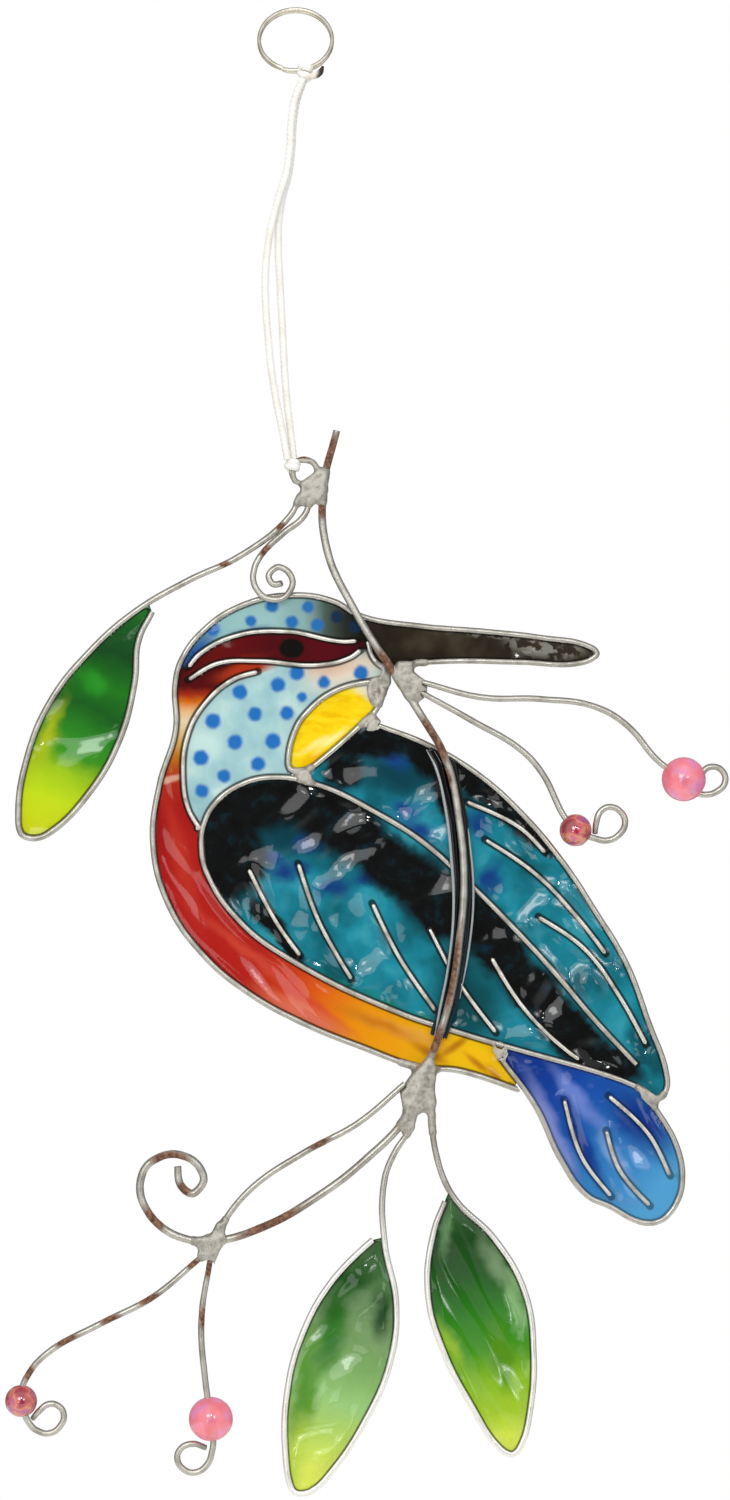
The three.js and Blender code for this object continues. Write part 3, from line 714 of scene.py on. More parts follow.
def hold(film, wires):
    """Draws a film's walls to the middles of the wires that hold it, which closes every gap beside them."""
    for i in wall_points(film.data):
        vertex = film.data.vertices[i]
        at, away = from_wires(wires, vertex.co)
        if away < HOLD:
            vertex.co.x, vertex.co.z = at.x, at.z


def fill_corners(film, y, inner):
    """Discs of resin where a wire inside a film ends close to another. inner names those wires."""
    edit(film)
    for name, thread in threads.items():
        if not inner or not name.removesuffix("_wire").startswith(inner):
            continue
        others = wire_tree(y, but=name)
        for point in thread[::2]:
            _, away = from_wires(others, point)
            if away < CORNER:
                bpy.ops.mesh.primitive_cylinder_add(
                    vertices=16, radius=away + OVERLAP, depth=0.7 * FILM,
                    location=(point.x, y, point.z), rotation=(math.radians(90), 0, 0),
                )
    leave()


print("a film is", FILM / MM, "mm thick")

# %% [markdown]
# The resin rippled where it shrank while it set. A flat plate with a bump map would not bend the reflections
# enough, so the ripples are real: the plate is cut into small squares by planes, as one would dice it, and
# displaced by a cloud texture. It lies still at its wires, and nearly so in a few calm places.

# %% A film's ripples
STILL = 0.6  # millimetres from a wire's middle, within which the film doesn't move
FREE = 2.2  # millimetres further, where it moves freely
CALM = 0.15  # share of the ripples that a calm place keeps


def dice(piece, size):
    """Cuts a piece in edit mode by planes across X and across Z."""
    low = [min(c[i] for c in piece.bound_box) for i in range(3)]
    high = [max(c[i] for c in piece.bound_box) for i in range(3)]
    for axis, normal in ((0, (1, 0, 0)), (2, (0, 0, 1))):
        count = max(1, round((high[axis] - low[axis]) / size))
        for i in range(1, count):
            at = [0.0, 0.0, 0.0]
            at[axis] = low[axis] + (high[axis] - low[axis]) * i / count
            bpy.ops.mesh.select_all(action="SELECT")
            bpy.ops.mesh.bisect(plane_co=at, plane_no=normal, threshold=MERGE / 2)


def mark_open(film, away, calm):
    """A group that says how freely each point may move. calm is as in pour."""
    group = film.vertex_groups.new(name="open")
    for vertex, mm in zip(film.data.vertices, away):
        free = min(1.0, max(0.0, mm - STILL) / FREE)
        for x, y_down, radius in calm:
            far = (vertex.co - spot(*px(x, y_down), y=vertex.co.y)).length / PIXEL
            free *= min(1.0, max(CALM, far / radius - 0.4))
        group.add([vertex.index], free, "REPLACE")


def ripple_film(film, ripple, size, along, stretch):
    """Displaces the open part of a film in depth by clouds, which an empty turns and stretches."""
    clouds = bpy.data.textures.new(film.name + "_ripples", "CLOUDS")
    clouds.noise_scale = size * MM
    clouds.noise_depth = 0
    clouds.noise_basis = "ORIGINAL_PERLIN"
    bpy.ops.object.empty_add(location=ZERO, rotation=(0, math.radians(-along), 0))
    guide = bpy.context.object
    guide.scale = (stretch, 1, 1)
    bpy.context.view_layer.update()
    modify(film, "DISPLACE", texture=clouds, texture_coords="OBJECT", texture_coords_object=guide,
           direction="Y", strength=2 * ripple * MM, mid_level=0.5, vertex_group="open")
    bpy.data.objects.remove(guide)


print("ripples start", STILL, "mm from a wire's middle")

# %% [markdown]
# Each film has its own ripples, as the photograph's highlights tell: long ones across the body and the right
# leaf, round ones in the wings. The distance to the nearest wire is kept on the mesh, for the painted shade
# beside the wires.

# %% Pour the films
DICE = 0.85 * MM
REACH = 0.72 * MM  # the film runs under its wires
GROWS = 1.2  # times REACH, about what the first step adds to the plate's thickness


def pour(solid, name, ripple, size, along=0.0, stretch=1.0, inner=(), calm=()):
    """A film with ripples of that height and size in millimetres, longer by stretch in a direction.

    calm gives discs, as (pixel, pixel, radius in pixels), where it lies flat.
    """
    film = copy_of(solid, name)
    edit(film)
    bpy.ops.transform.shrink_fatten(value=REACH)
    y = middle_y(solid)
    bpy.ops.transform.resize(value=(1, FILM / (FILM + GROWS * REACH), 1), center_override=(0, y, 0))
    dice(film, DICE)
    bpy.ops.mesh.select_all(action="SELECT")
    bpy.ops.mesh.remove_doubles(threshold=10 * MERGE)
    leave()
    wires = wire_tree(y)
    hold(film, wires)
    modify(film, "SUBSURF", subdivision_type="SIMPLE", levels=1, render_levels=1)
    fill_corners(film, y, inner)
    away = [from_wires(wires, vertex.co)[1] / MM for vertex in film.data.vertices]
    mark_open(film, away, calm)
    ripple_film(film, ripple, size, along, stretch)
    film.data.attributes.new("from_wire", "FLOAT", "POINT").data.foreach_set("value", away)
    return film


FILMS = {
    "body_film": dict(
        ripple=0.9, size=6.5, along=-50, stretch=3.0, inner=("cheek", "eye_stripe", "beak_base"),
        calm=((235, 690, 130), (400, 640, 90)),
    ),
    "yellow_patch_film": dict(ripple=0.2, size=6, along=45, stretch=2.2),
    "wings_film": dict(
        ripple=1.4, size=7.5, along=40, stretch=1.5, inner=("near_wing_vein", "far_wing_vein"),
        calm=((215, 815, 60), (262, 790, 45), (395, 745, 50), (400, 880, 40), (450, 960, 36), (500, 970, 40)),
    ),
    "tail_film": dict(ripple=1.3, size=8, along=-60, stretch=1.8, inner=("tail_vein",)),
    "upper_leaf_film": dict(
        ripple=1.1, size=6, along=8, stretch=2.4, calm=((118, 645, 60), (95, 690, 45), (50, 800, 40)),
    ),
    "left_leaf_film": dict(ripple=2.3, size=7.5, along=35, stretch=1.6),
    "right_leaf_film": dict(ripple=2.3, size=5.5, along=-68, stretch=3.4),
}
films = {}
for solid, look in FILMS.items():
    films[solid] = pour(solid, solid + "_poured", **look)
    print(solid, len(films[solid].data.polygons), "faces")

# %% [markdown]
# ## The colours of the resin
# Resin that is coloured with transparent pigment is glossy like glass and lets light through, so its surface
# is a glossy coat over pigment, with a share of light from behind. Beside a wire its colour is darkened
# towards near-black: painted shade for the wire's contact shadow and the dark that the meniscus mirrors. The
# colours were dropped in by hand while it was wet: they run into each other raggedly.

# %% Resin
GLOW = 0.35  # share of the light that comes through from behind
RESIN_IOR = 1.52
GLOSS = 0.07
# Painted shade: the near-black that the resin is darkened to beside its wires.
PAINTED_WIRE_SHADE = "#15130f"


def resin(name, paint, wire_shade_share=0.85):
    """Coloured resin. paint builds its colour from the tree and the place, without its depth."""
    material, tree, place = new_material(name)
    x, _, z = split(tree, place)
    flat = put(tree, "CombineXYZ", {0: x, 2: z}).outputs[0]
    away = put(tree, "Attribute", attribute_name="from_wire").outputs["Fac"]
    # Painted shade: within about a millimetre of a wire's middle the colour darkens towards near-black, for
    # the wire's contact shadow and the dark that the meniscus mirrors.
    shade = smooth_step(tree, away, 1.2, 0.8, 0.0, wire_shade_share)
    colour = blend_colour(tree, shade, paint(tree, flat), PAINTED_WIRE_SHADE)
    dimples = put(tree, "TexNoise", {"Vector": place, "Scale": 1 / 1.3, "Detail": 1.0}).outputs["Fac"]
    bump = put(tree, "Bump", {"Height": dimples, "Strength": 0.03, "Distance": 0.3 * MM}).outputs[0]
    surface(tree, {"Base Color": colour, "Roughness": GLOSS, "IOR": RESIN_IOR, "Normal": bump}, GLOW)
    return material


print("resin lets through", GLOW)

# %% [markdown]
# The body is one film, and its paint changes at the wires inside it. So a mask has to follow a wire's line.
# A curve node holds the line, and the mask compares a place with it.

# %% Masks along a wire
EDGE = 0.25  # millimetres on each side of the line, over which the paint changes


def wire_points(solid):
    """A wire's line as points of the drawing."""
    return [((m.x - ZERO.x) / MM, (m.z - ZERO.z) / MM) for m in lines[solid][0]]


def beyond(tree, place, points, upright=False):
    """1 above a line of the drawing, or right of an upright one. Each x, or z, has one point of it."""
    if upright:
        points = [(z, x) for x, z in points]
    points = sorted(points)
    along, across = zip(*points)
    a0, a1, c0, c1 = along[0], along[-1], min(across), max(across)
    x, _, z = split(tree, place)
    run, rise = (z, x) if upright else (x, z)
    share = put(tree, "MapRange", {"Value": run, "From Min": a0, "From Max": a1}).outputs[0]
    curve = put(tree, "FloatCurve", {"Value": share})
    bend = curve.mapping.curves[0]
    while len(bend.points) < len(points):
        bend.points.new(0.5, 0.5)
    for mark, (a, c) in zip(bend.points, points):
        mark.location = ((a - a0) / (a1 - a0), (c - c0) / (c1 - c0))
    curve.mapping.update()
    line = put(tree, "MapRange", {"Value": curve.outputs[0], "To Min": c0, "To Max": c1}).outputs[0]
    over = put(tree, "Math", {0: rise, 1: line}, operation="SUBTRACT").outputs[0]
    return smooth_step(tree, over, -EDGE, EDGE)


print("the cheek's line has", len(wire_points("cheek_wire")), "points")

# %% [markdown]
# The breast runs from dark red at the nape through cream and red to yellow at the tail. Thin streaks lie
# along it, two of them pale painted highlights along the belly, and short golden flecks in the yellow.

# %% The breast
BREAST = [
    (-2, "#a8161a"), (12, "#c02420"), (38, "#c4281e"), (50, "#d84a1e"), (58, "#e8741a"),
    (68, "#efa214"), (80, "#f2b412"), (94, "#f6ce14"), (112, "#f4cc18"),
]
NAPE = [
    (-84, "#b8221a"), (-76, "#c0381c"), (-71.5, "#cf8424"), (-67, "#e6bc68"), (-62.5, "#f4e6c6"),
    (-59.6, "#f2cc94"), (-57.4, "#e2801c"), (-55.6, "#b83a18"), (-53.6, "#641014"), (-46, "#4c0e12"),
]
BREAST_STREAKS_AND_HIGHLIGHTS = [
    # The first two are painted highlights: pale streaks along the belly where the light catches its ripples.
    ("#d8503c", (268, 968), (19, 1.1), -38, 0.9), ("#e47c5e", (300, 1012), (10, 2.2), -28, 0.8),
    ("#cc3a2c", (182, 860), (2, 14), 14, 0.9), ("#f0c65a", (400, 1030), (9, 1.2), -20, 0.9),
    ("#d88a18", (378, 1022), (10, 1.4), -22, 0.9),
]
GOLDEN_FLECKS = [(428, 1052, 4, 0.9, -30), (455, 1046, 4, 0.8, 35), (478, 1064, 3.4, 0.7, -40),
                 (497, 1078, 3, 0.8, -55), (468, 1076, 5, 0.6, -12)]
NAPE_MARK = [("#e8b49a", (171, 779), (3.4, 0.8), 15, 0.6)]


def paint_breast(tree, loose, fine):
    """Red to yellow down the bird, with the nape's bands above."""
    z = split(tree, loose)[2]
    breast = graded(tree, slanted(tree, loose, -24), BREAST)
    colour = blend_colour(tree, smooth_step(tree, z, -86, -80), breast, graded(tree, z, NAPE))
    # Streaks, two of which are painted highlights.
    colour = dabs(tree, loose, colour, BREAST_STREAKS_AND_HIGHLIGHTS)
    colour = blots(tree, fine, colour, "#c98a16", 0.9, GOLDEN_FLECKS)
    return dabs(tree, fine, colour, NAPE_MARK)


print("breast:", len(BREAST) + len(NAPE), "stops")

# %% [markdown]
# The cheek and the crown are a clouded pale blue with round spots of a stronger blue, dropped in one by one.
# They touch softly, so their masks are joined before they are softened.

# %% The cheek and the crown
CHEEK = [(0.32, "#a9d0d4"), (0.5, "#b9dcdd"), (0.68, "#d2e9e4")]
CHEEK_TINTS = [
    ("#f0e6d4", (352, 668), (11, 4), 20, 0.7), ("#e8cdb8", (330, 668), (6, 2), 10, 0.8),
    ("#d5ece8", (203, 742), (5, 4), 0, 0.8),
]
CHEEK_DOTS = [
    (240, 692, 7.6), (278, 685, 7.4), (297, 673, 7.4), (324, 682, 6.2), (361, 673, 7.4), (302, 697, 5),
    (255, 714, 7), (287, 713, 7), (213, 721, 7.8), (235, 742, 7.6), (273, 741, 8), (201, 758, 7.8),
    (258, 764, 7.2), (224, 776, 6.8), (202, 791, 6.8),
]
CROWN = [
    (-32, "#2c64a6"), (-26, "#6aa4bc"), (-20, "#a6d0d0"), (-8, "#b2d8d6"), (0, "#9cc0bc"), (5, "#5a6e66"),
    (10, "#343830"), (16, "#1c1b17"),
]
CROWN_TINTS = [("#2a62ac", (196, 655), (5, 2.4), 55, 0.8), ("#3470b4", (252, 634), (4, 1.3), 10, 0.8)]
CROWN_DOTS = [(272, 606, 6.6), (308, 607, 6), (251, 621, 5.6), (292, 622, 6.4), (317, 625, 6.6),
              (213, 629, 7)]
CROWN_DARK_DOTS = [(337, 617, 6), (355, 627, 6)]


def dotted(tree, place, colour, dots, paint):
    """Round spots of paint, each (pixel, pixel, radius in pixels), with soft rims."""
    depth = None
    for x, y, radius in dots:
        at = px(x, y)
        away = put(tree, "VectorMath", {0: place, 1: (at[0], 0, at[1])}, operation="DISTANCE")
        under = put(tree, "Math", {0: radius / PIXELS, 1: away.outputs["Value"]}, operation="SUBTRACT")
        depth = either(tree, depth, under.outputs[0])
    return blend_colour(tree, smooth_step(tree, depth, -0.55, 0.6), colour, paint)


def paint_cheek(tree, loose, fine):
    """Clouded pale blue with warm tints near the beak, and spots."""
    sky = put(tree, "TexNoise", {"Vector": loose, "Scale": 1 / 7.0, "Detail": 3.0}).outputs["Fac"]
    cheek = dabs(tree, loose, graded(tree, sky, CHEEK), CHEEK_TINTS)
    return dotted(tree, fine, cheek, CHEEK_DOTS, "#2f80cc")


def paint_crown(tree, loose, fine):
    """Blue at the back of the head, pale over the eye and black towards the beak, with spots."""
    crown = dabs(tree, loose, graded(tree, split(tree, loose)[0], CROWN), CROWN_TINTS)
    crown = dotted(tree, fine, crown, CROWN_DOTS, "#3382c8")
    return dotted(tree, fine, crown, CROWN_DARK_DOTS, "#1c3a58")


print("dots:", len(CHEEK_DOTS) + len(CROWN_DOTS) + len(CROWN_DARK_DOTS))

# %% [markdown]
# The stripe over the eye is a deep wine red, and the eye a black drop in it. The beak is dark brown like
# horn, with pale grey patches along its top edge and near its tip.

# %% The stripe and the beak
STRIPE = [
    (-31, "#4c0c12"), (-22, "#781414"), (-15, "#701216"), (-8, "#5c0f18"), (6, "#660f1a"), (14, "#540f1a"),
]
STRIPE_TINT = [("#98281a", (228, 664), (8, 1.1), 16, 0.8)]
BIRD_EYE = [("#15130f", (291.7, 648.4), (3.1, 2.5), 0, 0.16)]
HORN = [(0.35, "#2a241c"), (0.5, "#3a3226"), (0.66, "#4d4536")]
PALE_TIP = ((545, 646), (9, 3), -6, 0.4)
PALE_EDGE = ((505, 637), (12, 0.9), -5, 0.6)


def paint_stripe(tree, loose, fine):
    """Wine red along the bird, with its eye."""
    stripe = dabs(tree, loose, graded(tree, split(tree, loose)[0], STRIPE), STRIPE_TINT)
    return dabs(tree, fine, stripe, BIRD_EYE)


def paint_beak(tree, loose):
    """Horn, with its pale grey patches."""
    horn = put(tree, "TexNoise", {"Vector": loose, "Scale": 1 / 9.0, "Detail": 3.0}).outputs["Fac"]
    patchy = put(tree, "TexNoise", {"Vector": loose, "Scale": 1 / 2.6, "Detail": 2.0}).outputs["Fac"]
    pale_patches = None
    for pixel, radii, turn, soft in (PALE_TIP, PALE_EDGE):
        pale_patches = either(tree, pale_patches, dab_mask(tree, loose, px(*pixel), radii, turn, soft))
    pale_patches = both(tree, pale_patches, smooth_step(tree, patchy, 0.46, 0.56))
    return blend_colour(tree, pale_patches, graded(tree, horn, HORN), "#96948a")


print("stripe:", len(STRIPE), "stops")

# %% [markdown]
# Put together, the crown lies above the upper stripe wire, the stripe between the two, the cheek right of
# its wire and the beak right of its base. A little orange from the breast glows at the top of the cheek.

# %% Paint the body
CHEEK_FOOT = px(0, 835)[1]
ORANGE = ((248, 668), (7.5, 1.9), 18, 0.7)
OVER_CHEEK = [px(170, 742), px(200, 712), px(232, 690), px(262, 673), px(310, 664)]


def paint_body(tree, place):
    """All the paint of the body, from the breast to the beak."""
    loose = ragged(tree, place, 6, 1.6)
    fine = ragged(tree, place, 1.5, 0.35)
    z = split(tree, place)[2]
    colour = paint_breast(tree, loose, fine)

    beside = beyond(tree, place, wire_points("cheek_wire"), upright=True)
    on_cheek = both(tree, beside, smooth_step(tree, z, CHEEK_FOOT - 1, CHEEK_FOOT))
    colour = blend_colour(tree, on_cheek, colour, paint_cheek(tree, loose, fine))
    pixel, radii, turn, soft = ORANGE
    orange = dab_mask(tree, loose, px(*pixel), radii, turn, soft)
    colour = blend_colour(tree, both(tree, orange, beyond(tree, place, OVER_CHEEK)), colour, "#c4401a")

    over_lower = beyond(tree, place, wire_points("eye_stripe_lower_wire"))
    colour = blend_colour(tree, over_lower, colour, paint_stripe(tree, loose, fine))
    over_upper = beyond(tree, place, wire_points("eye_stripe_upper_wire"))
    colour = blend_colour(tree, over_upper, colour, paint_crown(tree, loose, fine))

    past_base = beyond(tree, place, wire_points("beak_base_wire"), upright=True)
    on_beak = both(tree, past_base, smooth_step(tree, z, -51.5, -50))
    return blend_colour(tree, on_beak, colour, paint_beak(tree, loose))


body_resin = resin("body_resin", paint_body)
print("body paint:", len(body_resin.node_tree.nodes), "nodes")

# %% [markdown]
# The yellow patch was poured from two yellows that were dragged into streaks, so a stretched noise mixes
# them. The tail goes from deep blue at its root to a light blue at its tip, with milky streaks along it.

# %% Paint the yellow patch and the tail
YELLOW = [(0.3, "#f4cc08"), (0.45, "#fadf12"), (0.6, "#fde82a"), (0.74, "#fff488")]
YELLOW_DABS = [
    ("#f4b804", (318, 770), (5, 3), 35, 0.8), ("#f1efda", (370, 688), (4.6, 2.4), -20, 0.6),
    ("#fbf3a0", (322, 742), (5, 0.8), 25, 0.9),
]
TAIL = [
    (134, "#10358c"), (144, "#1643a0"), (152, "#1c52b0"), (160, "#2466bc"), (168, "#3484c8"),
    (178, "#4a9cd4"), (186, "#60b2de"),
]
TAIL_DABS = [
    ("#16449e", (584, 1148), (2, 9), 25, 0.8), ("#8a9ad6", (551, 1126), (1.9, 12), 24, 0.7),
    ("#7894da", (577, 1098), (1.7, 9), 38, 0.7), ("#86b0e0", (614, 1155), (1.4, 6), 30, 0.8),
    ("#123f9a", (640, 1120), (9, 5), -45, 0.8),
]


def streaked(tree, place, turn, across, along, detail):
    """Noise that is dragged into streaks: cells to a millimetre across X and along Z, after a turn."""
    rotation = (0, math.radians(turn), 0)
    feeds = {"Vector": place, "Rotation": rotation, "Scale": (across, 1, along)}
    dragged = put(tree, "Mapping", feeds).outputs[0]
    return put(tree, "TexNoise", {"Vector": dragged, "Scale": 1.0, "Detail": detail}).outputs["Fac"]


def paint_yellow(tree, place):
    """Two yellows in streaks, with a pale corner."""
    loose = ragged(tree, place, 4, 1.0)
    drag = streaked(tree, loose, 32, 0.08, 0.5, 3.0)
    return dabs(tree, loose, graded(tree, drag, YELLOW), YELLOW_DABS)


def paint_tail(tree, place):
    """Blue along the tail, with milk in it."""
    loose = ragged(tree, place, 6, 2.0)
    colour = graded(tree, slanted(tree, loose, -42), TAIL)
    milky = smooth_step(tree, streaked(tree, loose, 58, 0.07, 0.4, 2.0), 0.56, 0.72, 0.0, 0.25)
    return dabs(tree, loose, blend_colour(tree, milky, colour, "#7f96d0"), TAIL_DABS)


yellow_resin = resin("yellow_resin", paint_yellow, wire_shade_share=0.6)
tail_resin = resin("tail_resin", paint_tail, wire_shade_share=0.6)
print("yellow and tail:", len(YELLOW_DABS) + len(TAIL_DABS), "dabs")

# %% [markdown]
# The wings are teal with black run into it from the shoulders, and a little deep blue dropped in while it
# was wet. The near wing lies below its own top wire and has a black band along it; the far wing has its own
# black shoulder.

# %% Paint the wings
TEAL = [(0.3, "#0f6470"), (0.46, "#1c8a9c"), (0.58, "#269cb0"), (0.74, "#4ab4c2")]
BLACKS = [(0.35, "#0f0e0d"), (0.56, "#141718"), (0.69, "#112e36"), (0.8, "#163658")]
NEAR_TINTS = [
    ("#0e4a58", (292, 826), (13, 8), 20, 0.7), ("#1f8f6a", (372, 1003), (12, 1.6), -26, 0.9),
    ("#1c8c70", (425, 1022), (9, 1.4), -20, 0.9),
]
NEAR_BLUES = [
    (281, 872, 2.88, 2.4, 0), (308, 842, 3.2, 2.08, 0), (334, 886, 4, 1.92, 0), (366, 878, 2.88, 1.6, 0),
    (417, 898, 2.72, 3.2, 0), (270, 858, 2.4, 1.6, 0), (300, 868, 2.4, 1.6, 0),
]
NEAR_SHADE = [("#10575f", (470, 1000), (7, 12), 20, 0.8)]
NEAR_BLACKS = [
    (222, 842, 8.5, 17, 5), (262, 803, 18, 7, 12), (335, 815, 15, 8.5, -38), (385, 860, 14, 6.5, -42),
    (432, 898, 13, 8, -50), (268, 920, 7, 2.8, -50), (288, 948, 5, 1.6, -45), (480, 925, 8, 7, -50),
    (500, 950, 9, 6.5, -48), (535, 992, 12, 6, -48), (575, 1035, 12, 6, -45), (612, 1062, 9, 4, -35),
    (248, 860, 5, 8, 0),
]
FAR_TINT = [("#0f4d5c", (395, 775), (13, 5), -10, 0.8)]
FAR_BLUES = [
    (395, 760, 3.6, 1.92, -20), (407, 812, 2.88, 2.08, -20), (417, 833, 4, 2.08, -20),
    (491, 880, 2.4, 4, -20), (478, 828, 2.4, 2.4, -20), (426, 858, 2.4, 1.6, -20),
]
FAR_BLACKS = [
    (380, 742, 12, 4.4, 6), (342, 768, 5, 5, 40), (430, 756, 7, 5, -30), (447, 790, 3, 8, 10),
    (480, 778, 9, 6, -45), (510, 808, 11, 4.6, -45), (538, 838, 7, 2.6, -42),
]
FAR_SHADE = [("#135f6d", (645, 1060), (2.4, 9), 12, 0.8)]


def paint_wings(tree, place):
    """Both wings, on the two sides of the near wing's top wire."""
    loose = ragged(tree, place, 8, 2.4)
    fine = ragged(tree, loose, 2.4, 1.3, seed=3.0)
    tone = put(tree, "TexNoise", {"Vector": loose, "Scale": 1 / 12.0, "Detail": 3.0}).outputs["Fac"]
    depth = put(tree, "TexNoise", {"Vector": fine, "Scale": 1 / 4.5, "Detail": 3.0}).outputs["Fac"]
    teal = graded(tree, tone, TEAL)
    black = graded(tree, depth, BLACKS)

    near = dabs(tree, fine, teal, NEAR_TINTS)
    near = blots(tree, fine, near, "#174a8c", 0.9, NEAR_BLUES)
    near = dabs(tree, fine, near, NEAR_SHADE)
    near = blots(tree, fine, near, black, 0.3, NEAR_BLACKS)

    far = dabs(tree, fine, teal, FAR_TINT)
    far = blots(tree, fine, far, "#184c94", 0.9, FAR_BLUES)
    far = blots(tree, fine, far, black, 0.3, FAR_BLACKS)
    far = dabs(tree, fine, far, FAR_SHADE)

    points = wire_points("near_wing_wire")
    peak = max(range(len(points)), key=lambda i: points[i][1])
    return blend_colour(tree, beyond(tree, place, points[: peak + 1]), near, far)


wing_resin = resin("wing_resin", paint_wings)
print("wing paint:", len(wing_resin.node_tree.nodes), "nodes")

# %% [markdown]
# The leaves go from dark green at the stalk to yellow at the other end, each in its own way, so one function
# takes the direction, the colours on the way and the dabs over them. The left leaf's pale grey-green stops
# and the right leaf's pale grey-green dabs are painted reflection: the haze of the room on the resin, laid
# over the leaves' own green.

# %% Paint the leaves
LEAVES = {
    "upper_leaf_film": (-112, [
        (46, "#2f8a36"), (52, "#1f6a2a"), (60, "#1c5626"), (68, "#2a8a24"), (75, "#226c26"),
        (82, "#379a2c"), (87, "#4aa428"), (92, "#b0d424"), (99, "#d2e624"), (109, "#dade22"),
    ], [("#34a430", (97, 684), (3, 2.4), 0, 0.8), ("#bccc26", (48, 738), (2, 8), -22, 0.8)]),
    "left_leaf_film": (-105, [
        # Painted reflection: from 193 to 222 mm the stops are a pale grey-green haze over the leaf's own
        # green.
        (184, "#3c7034"), (193, "#6a9460"), (203, "#84aa70"), (213, "#90bc74"), (222, "#aad68a"),
        (231, "#c2dc6a"), (240, "#e4ee66"),
    ], [("#265c22", (350, 1280), (6, 3.6), 28, 0.8), ("#34742a", (335, 1312), (3.2, 6), -22, 0.8),
        ("#1c5018", (381, 1313), (2.2, 5), -5, 0.8), ("#3c8a2e", (330, 1342), (3, 6), -24, 0.8),
        ("#5ea22a", (304, 1392), (2.8, 13), -10, 0.8), ("#cade5a", (296, 1452), (2.4, 8), -10, 0.8)]),
    "right_leaf_film": (-80, [
        (188, "#3a6a36"), (196, "#225420"), (206, "#246a1c"), (215, "#389022"), (224, "#52a428"),
        (232, "#9cca34"), (239, "#b2d438"), (246, "#dcea58"),
    # Painted reflection: the first two dabs and the last one are the pale grey-green haze of the room on the
    # resin.
    ], [("#86a87a", (500, 1270), (2.2, 8), 28, 0.8), ("#94c482", (516, 1304), (1.9, 6), 12, 0.8),
        ("#64a220", (501, 1358), (2.4, 7), 12, 0.8), ("#a0cc34", (450, 1346), (2, 6), 30, 0.8),
        ("#6a9a60", (446, 1232), (1.4, 5), -12, 0.8)]),
}


def leaf_paint(direction, stops, strokes):
    """A leaf's paint: stops along a direction of the drawing, then dabs over them."""

    def paint(tree, place):
        loose = ragged(tree, place, 5, 2.6)
        return dabs(tree, loose, graded(tree, slanted(tree, loose, direction), stops), strokes)

    return paint


leaf_resins = {solid: resin("leaf_resin_" + solid, leaf_paint(*leaf)) for solid, leaf in LEAVES.items()}
print(len(leaf_resins), "leaf paints")

# %% Set the films in place
FINISHES = {
    "body_film": (body_resin, "body_resin"), "yellow_patch_film": (yellow_resin, "yellow_resin"),
    "wings_film": (wing_resin, "wing_resin"), "tail_film": (tail_resin, "tail_resin"),
    **{solid: (material, "leaf_resin") for solid, material in leaf_resins.items()},
}
for solid, film in films.items():
    finish_piece(film, *FINISHES[solid], solid)
print(len(films), "films")

# %% [markdown]
# ## Solder
# Where wires meet, tin solder was melted over them. It wets the wires and pulls itself into a web between
# them, with a dull, slightly pitted skin. That skin is a rough grey metal with small dark pits.

# %% Tin solder
PIT = 0.45  # millimetres
SKIN = 1.6  # millimetres between the lumps of its skin

solder_tin, tree, place = new_material("tin_solder")
lumps = {"Vector": place, "Scale": 1 / SKIN, "Detail": 5.0, "Roughness": 0.6}
skin = put(tree, "TexNoise", lumps).outputs["Fac"]
pits = put(tree, "TexNoise", {"Vector": place, "Scale": 1 / PIT, "Detail": 2.0}).outputs["Fac"]
colour = graded(tree, skin, [(0.3, "#8f8b82"), (0.5, "#b2aea4"), (0.7, "#c8c5bc")])
pitted = smooth_step(tree, pits, 0.66, 0.74, 0.0, 0.6)
height = put(tree, "Math", {0: skin, 1: pits}, operation="SUBTRACT").outputs[0]
surface(tree, {
    "Base Color": blend_colour(tree, pitted, colour, "#6b655a"), "Metallic": 0.8,
    "Roughness": smooth_step(tree, skin, 0.3, 0.7, 0.42, 0.6),
    "Normal": put(tree, "Bump", {"Height": height, "Strength": 0.3, "Distance": 0.2 * MM}).outputs[0],
})
print("solder pits:", PIT, "mm")

# %% [markdown]
# Its solid leaves room round the wires. So it is remeshed into a soft lump and drawn in a little, and a
# sleeve of solder goes round each wire. Then the whole is grown and drawn back in, which closes the small
# gaps that solder would fill, and its skin is smoothed and pushed in and out.

# %% Set the solder
LUMP = 0.28 * MM  # size of the remesh's cubes
SHRUNK = 0.45 * MM  # the solid is drawn in, so that its edges curve inward between the wires
SLEEVE = 0.3 * MM  # of solder round each wire
SPREAD = 1.2 * MM  # how far it creeps along the wires
FILLS = 0.55 * MM  # it closes gaps up to twice this
LUMPY = 0.3 * MM

lumpy = bpy.data.textures.new("lumpy_solder", "CLOUDS")
lumpy.noise_scale = 2.4 * MM
lumpy.noise_depth = 1


def sleeves(solid):
    """Tubes of solder round the wires that run through a joint."""
    low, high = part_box(solid)
    reach = Vector((SPREAD, SPREAD, SPREAD))
    low, high = low - reach, high + reach
    tubes = []
    for name, thread in threads.items():
        run = [p for p in thread if all(low[i] < p[i] < high[i] for i in range(3))]
        if len(run) > 3:
            stops = run[:: max(1, len(run) // 8)]
            tubes.append(to_mesh(in_line("sleeve", stops, lines[name][1] + SLEEVE, ends=0.5)))
    return tubes


def remesh(joint):
    """Evens a lump out into small cubes' faces."""
    modify(joint, "REMESH", mode="VOXEL", voxel_size=LUMP)


def push(joint, far):
    """Moves a lump's skin out, or in where far is negative."""
    modify(joint, "DISPLACE", direction="NORMAL", strength=far, mid_level=0.0)


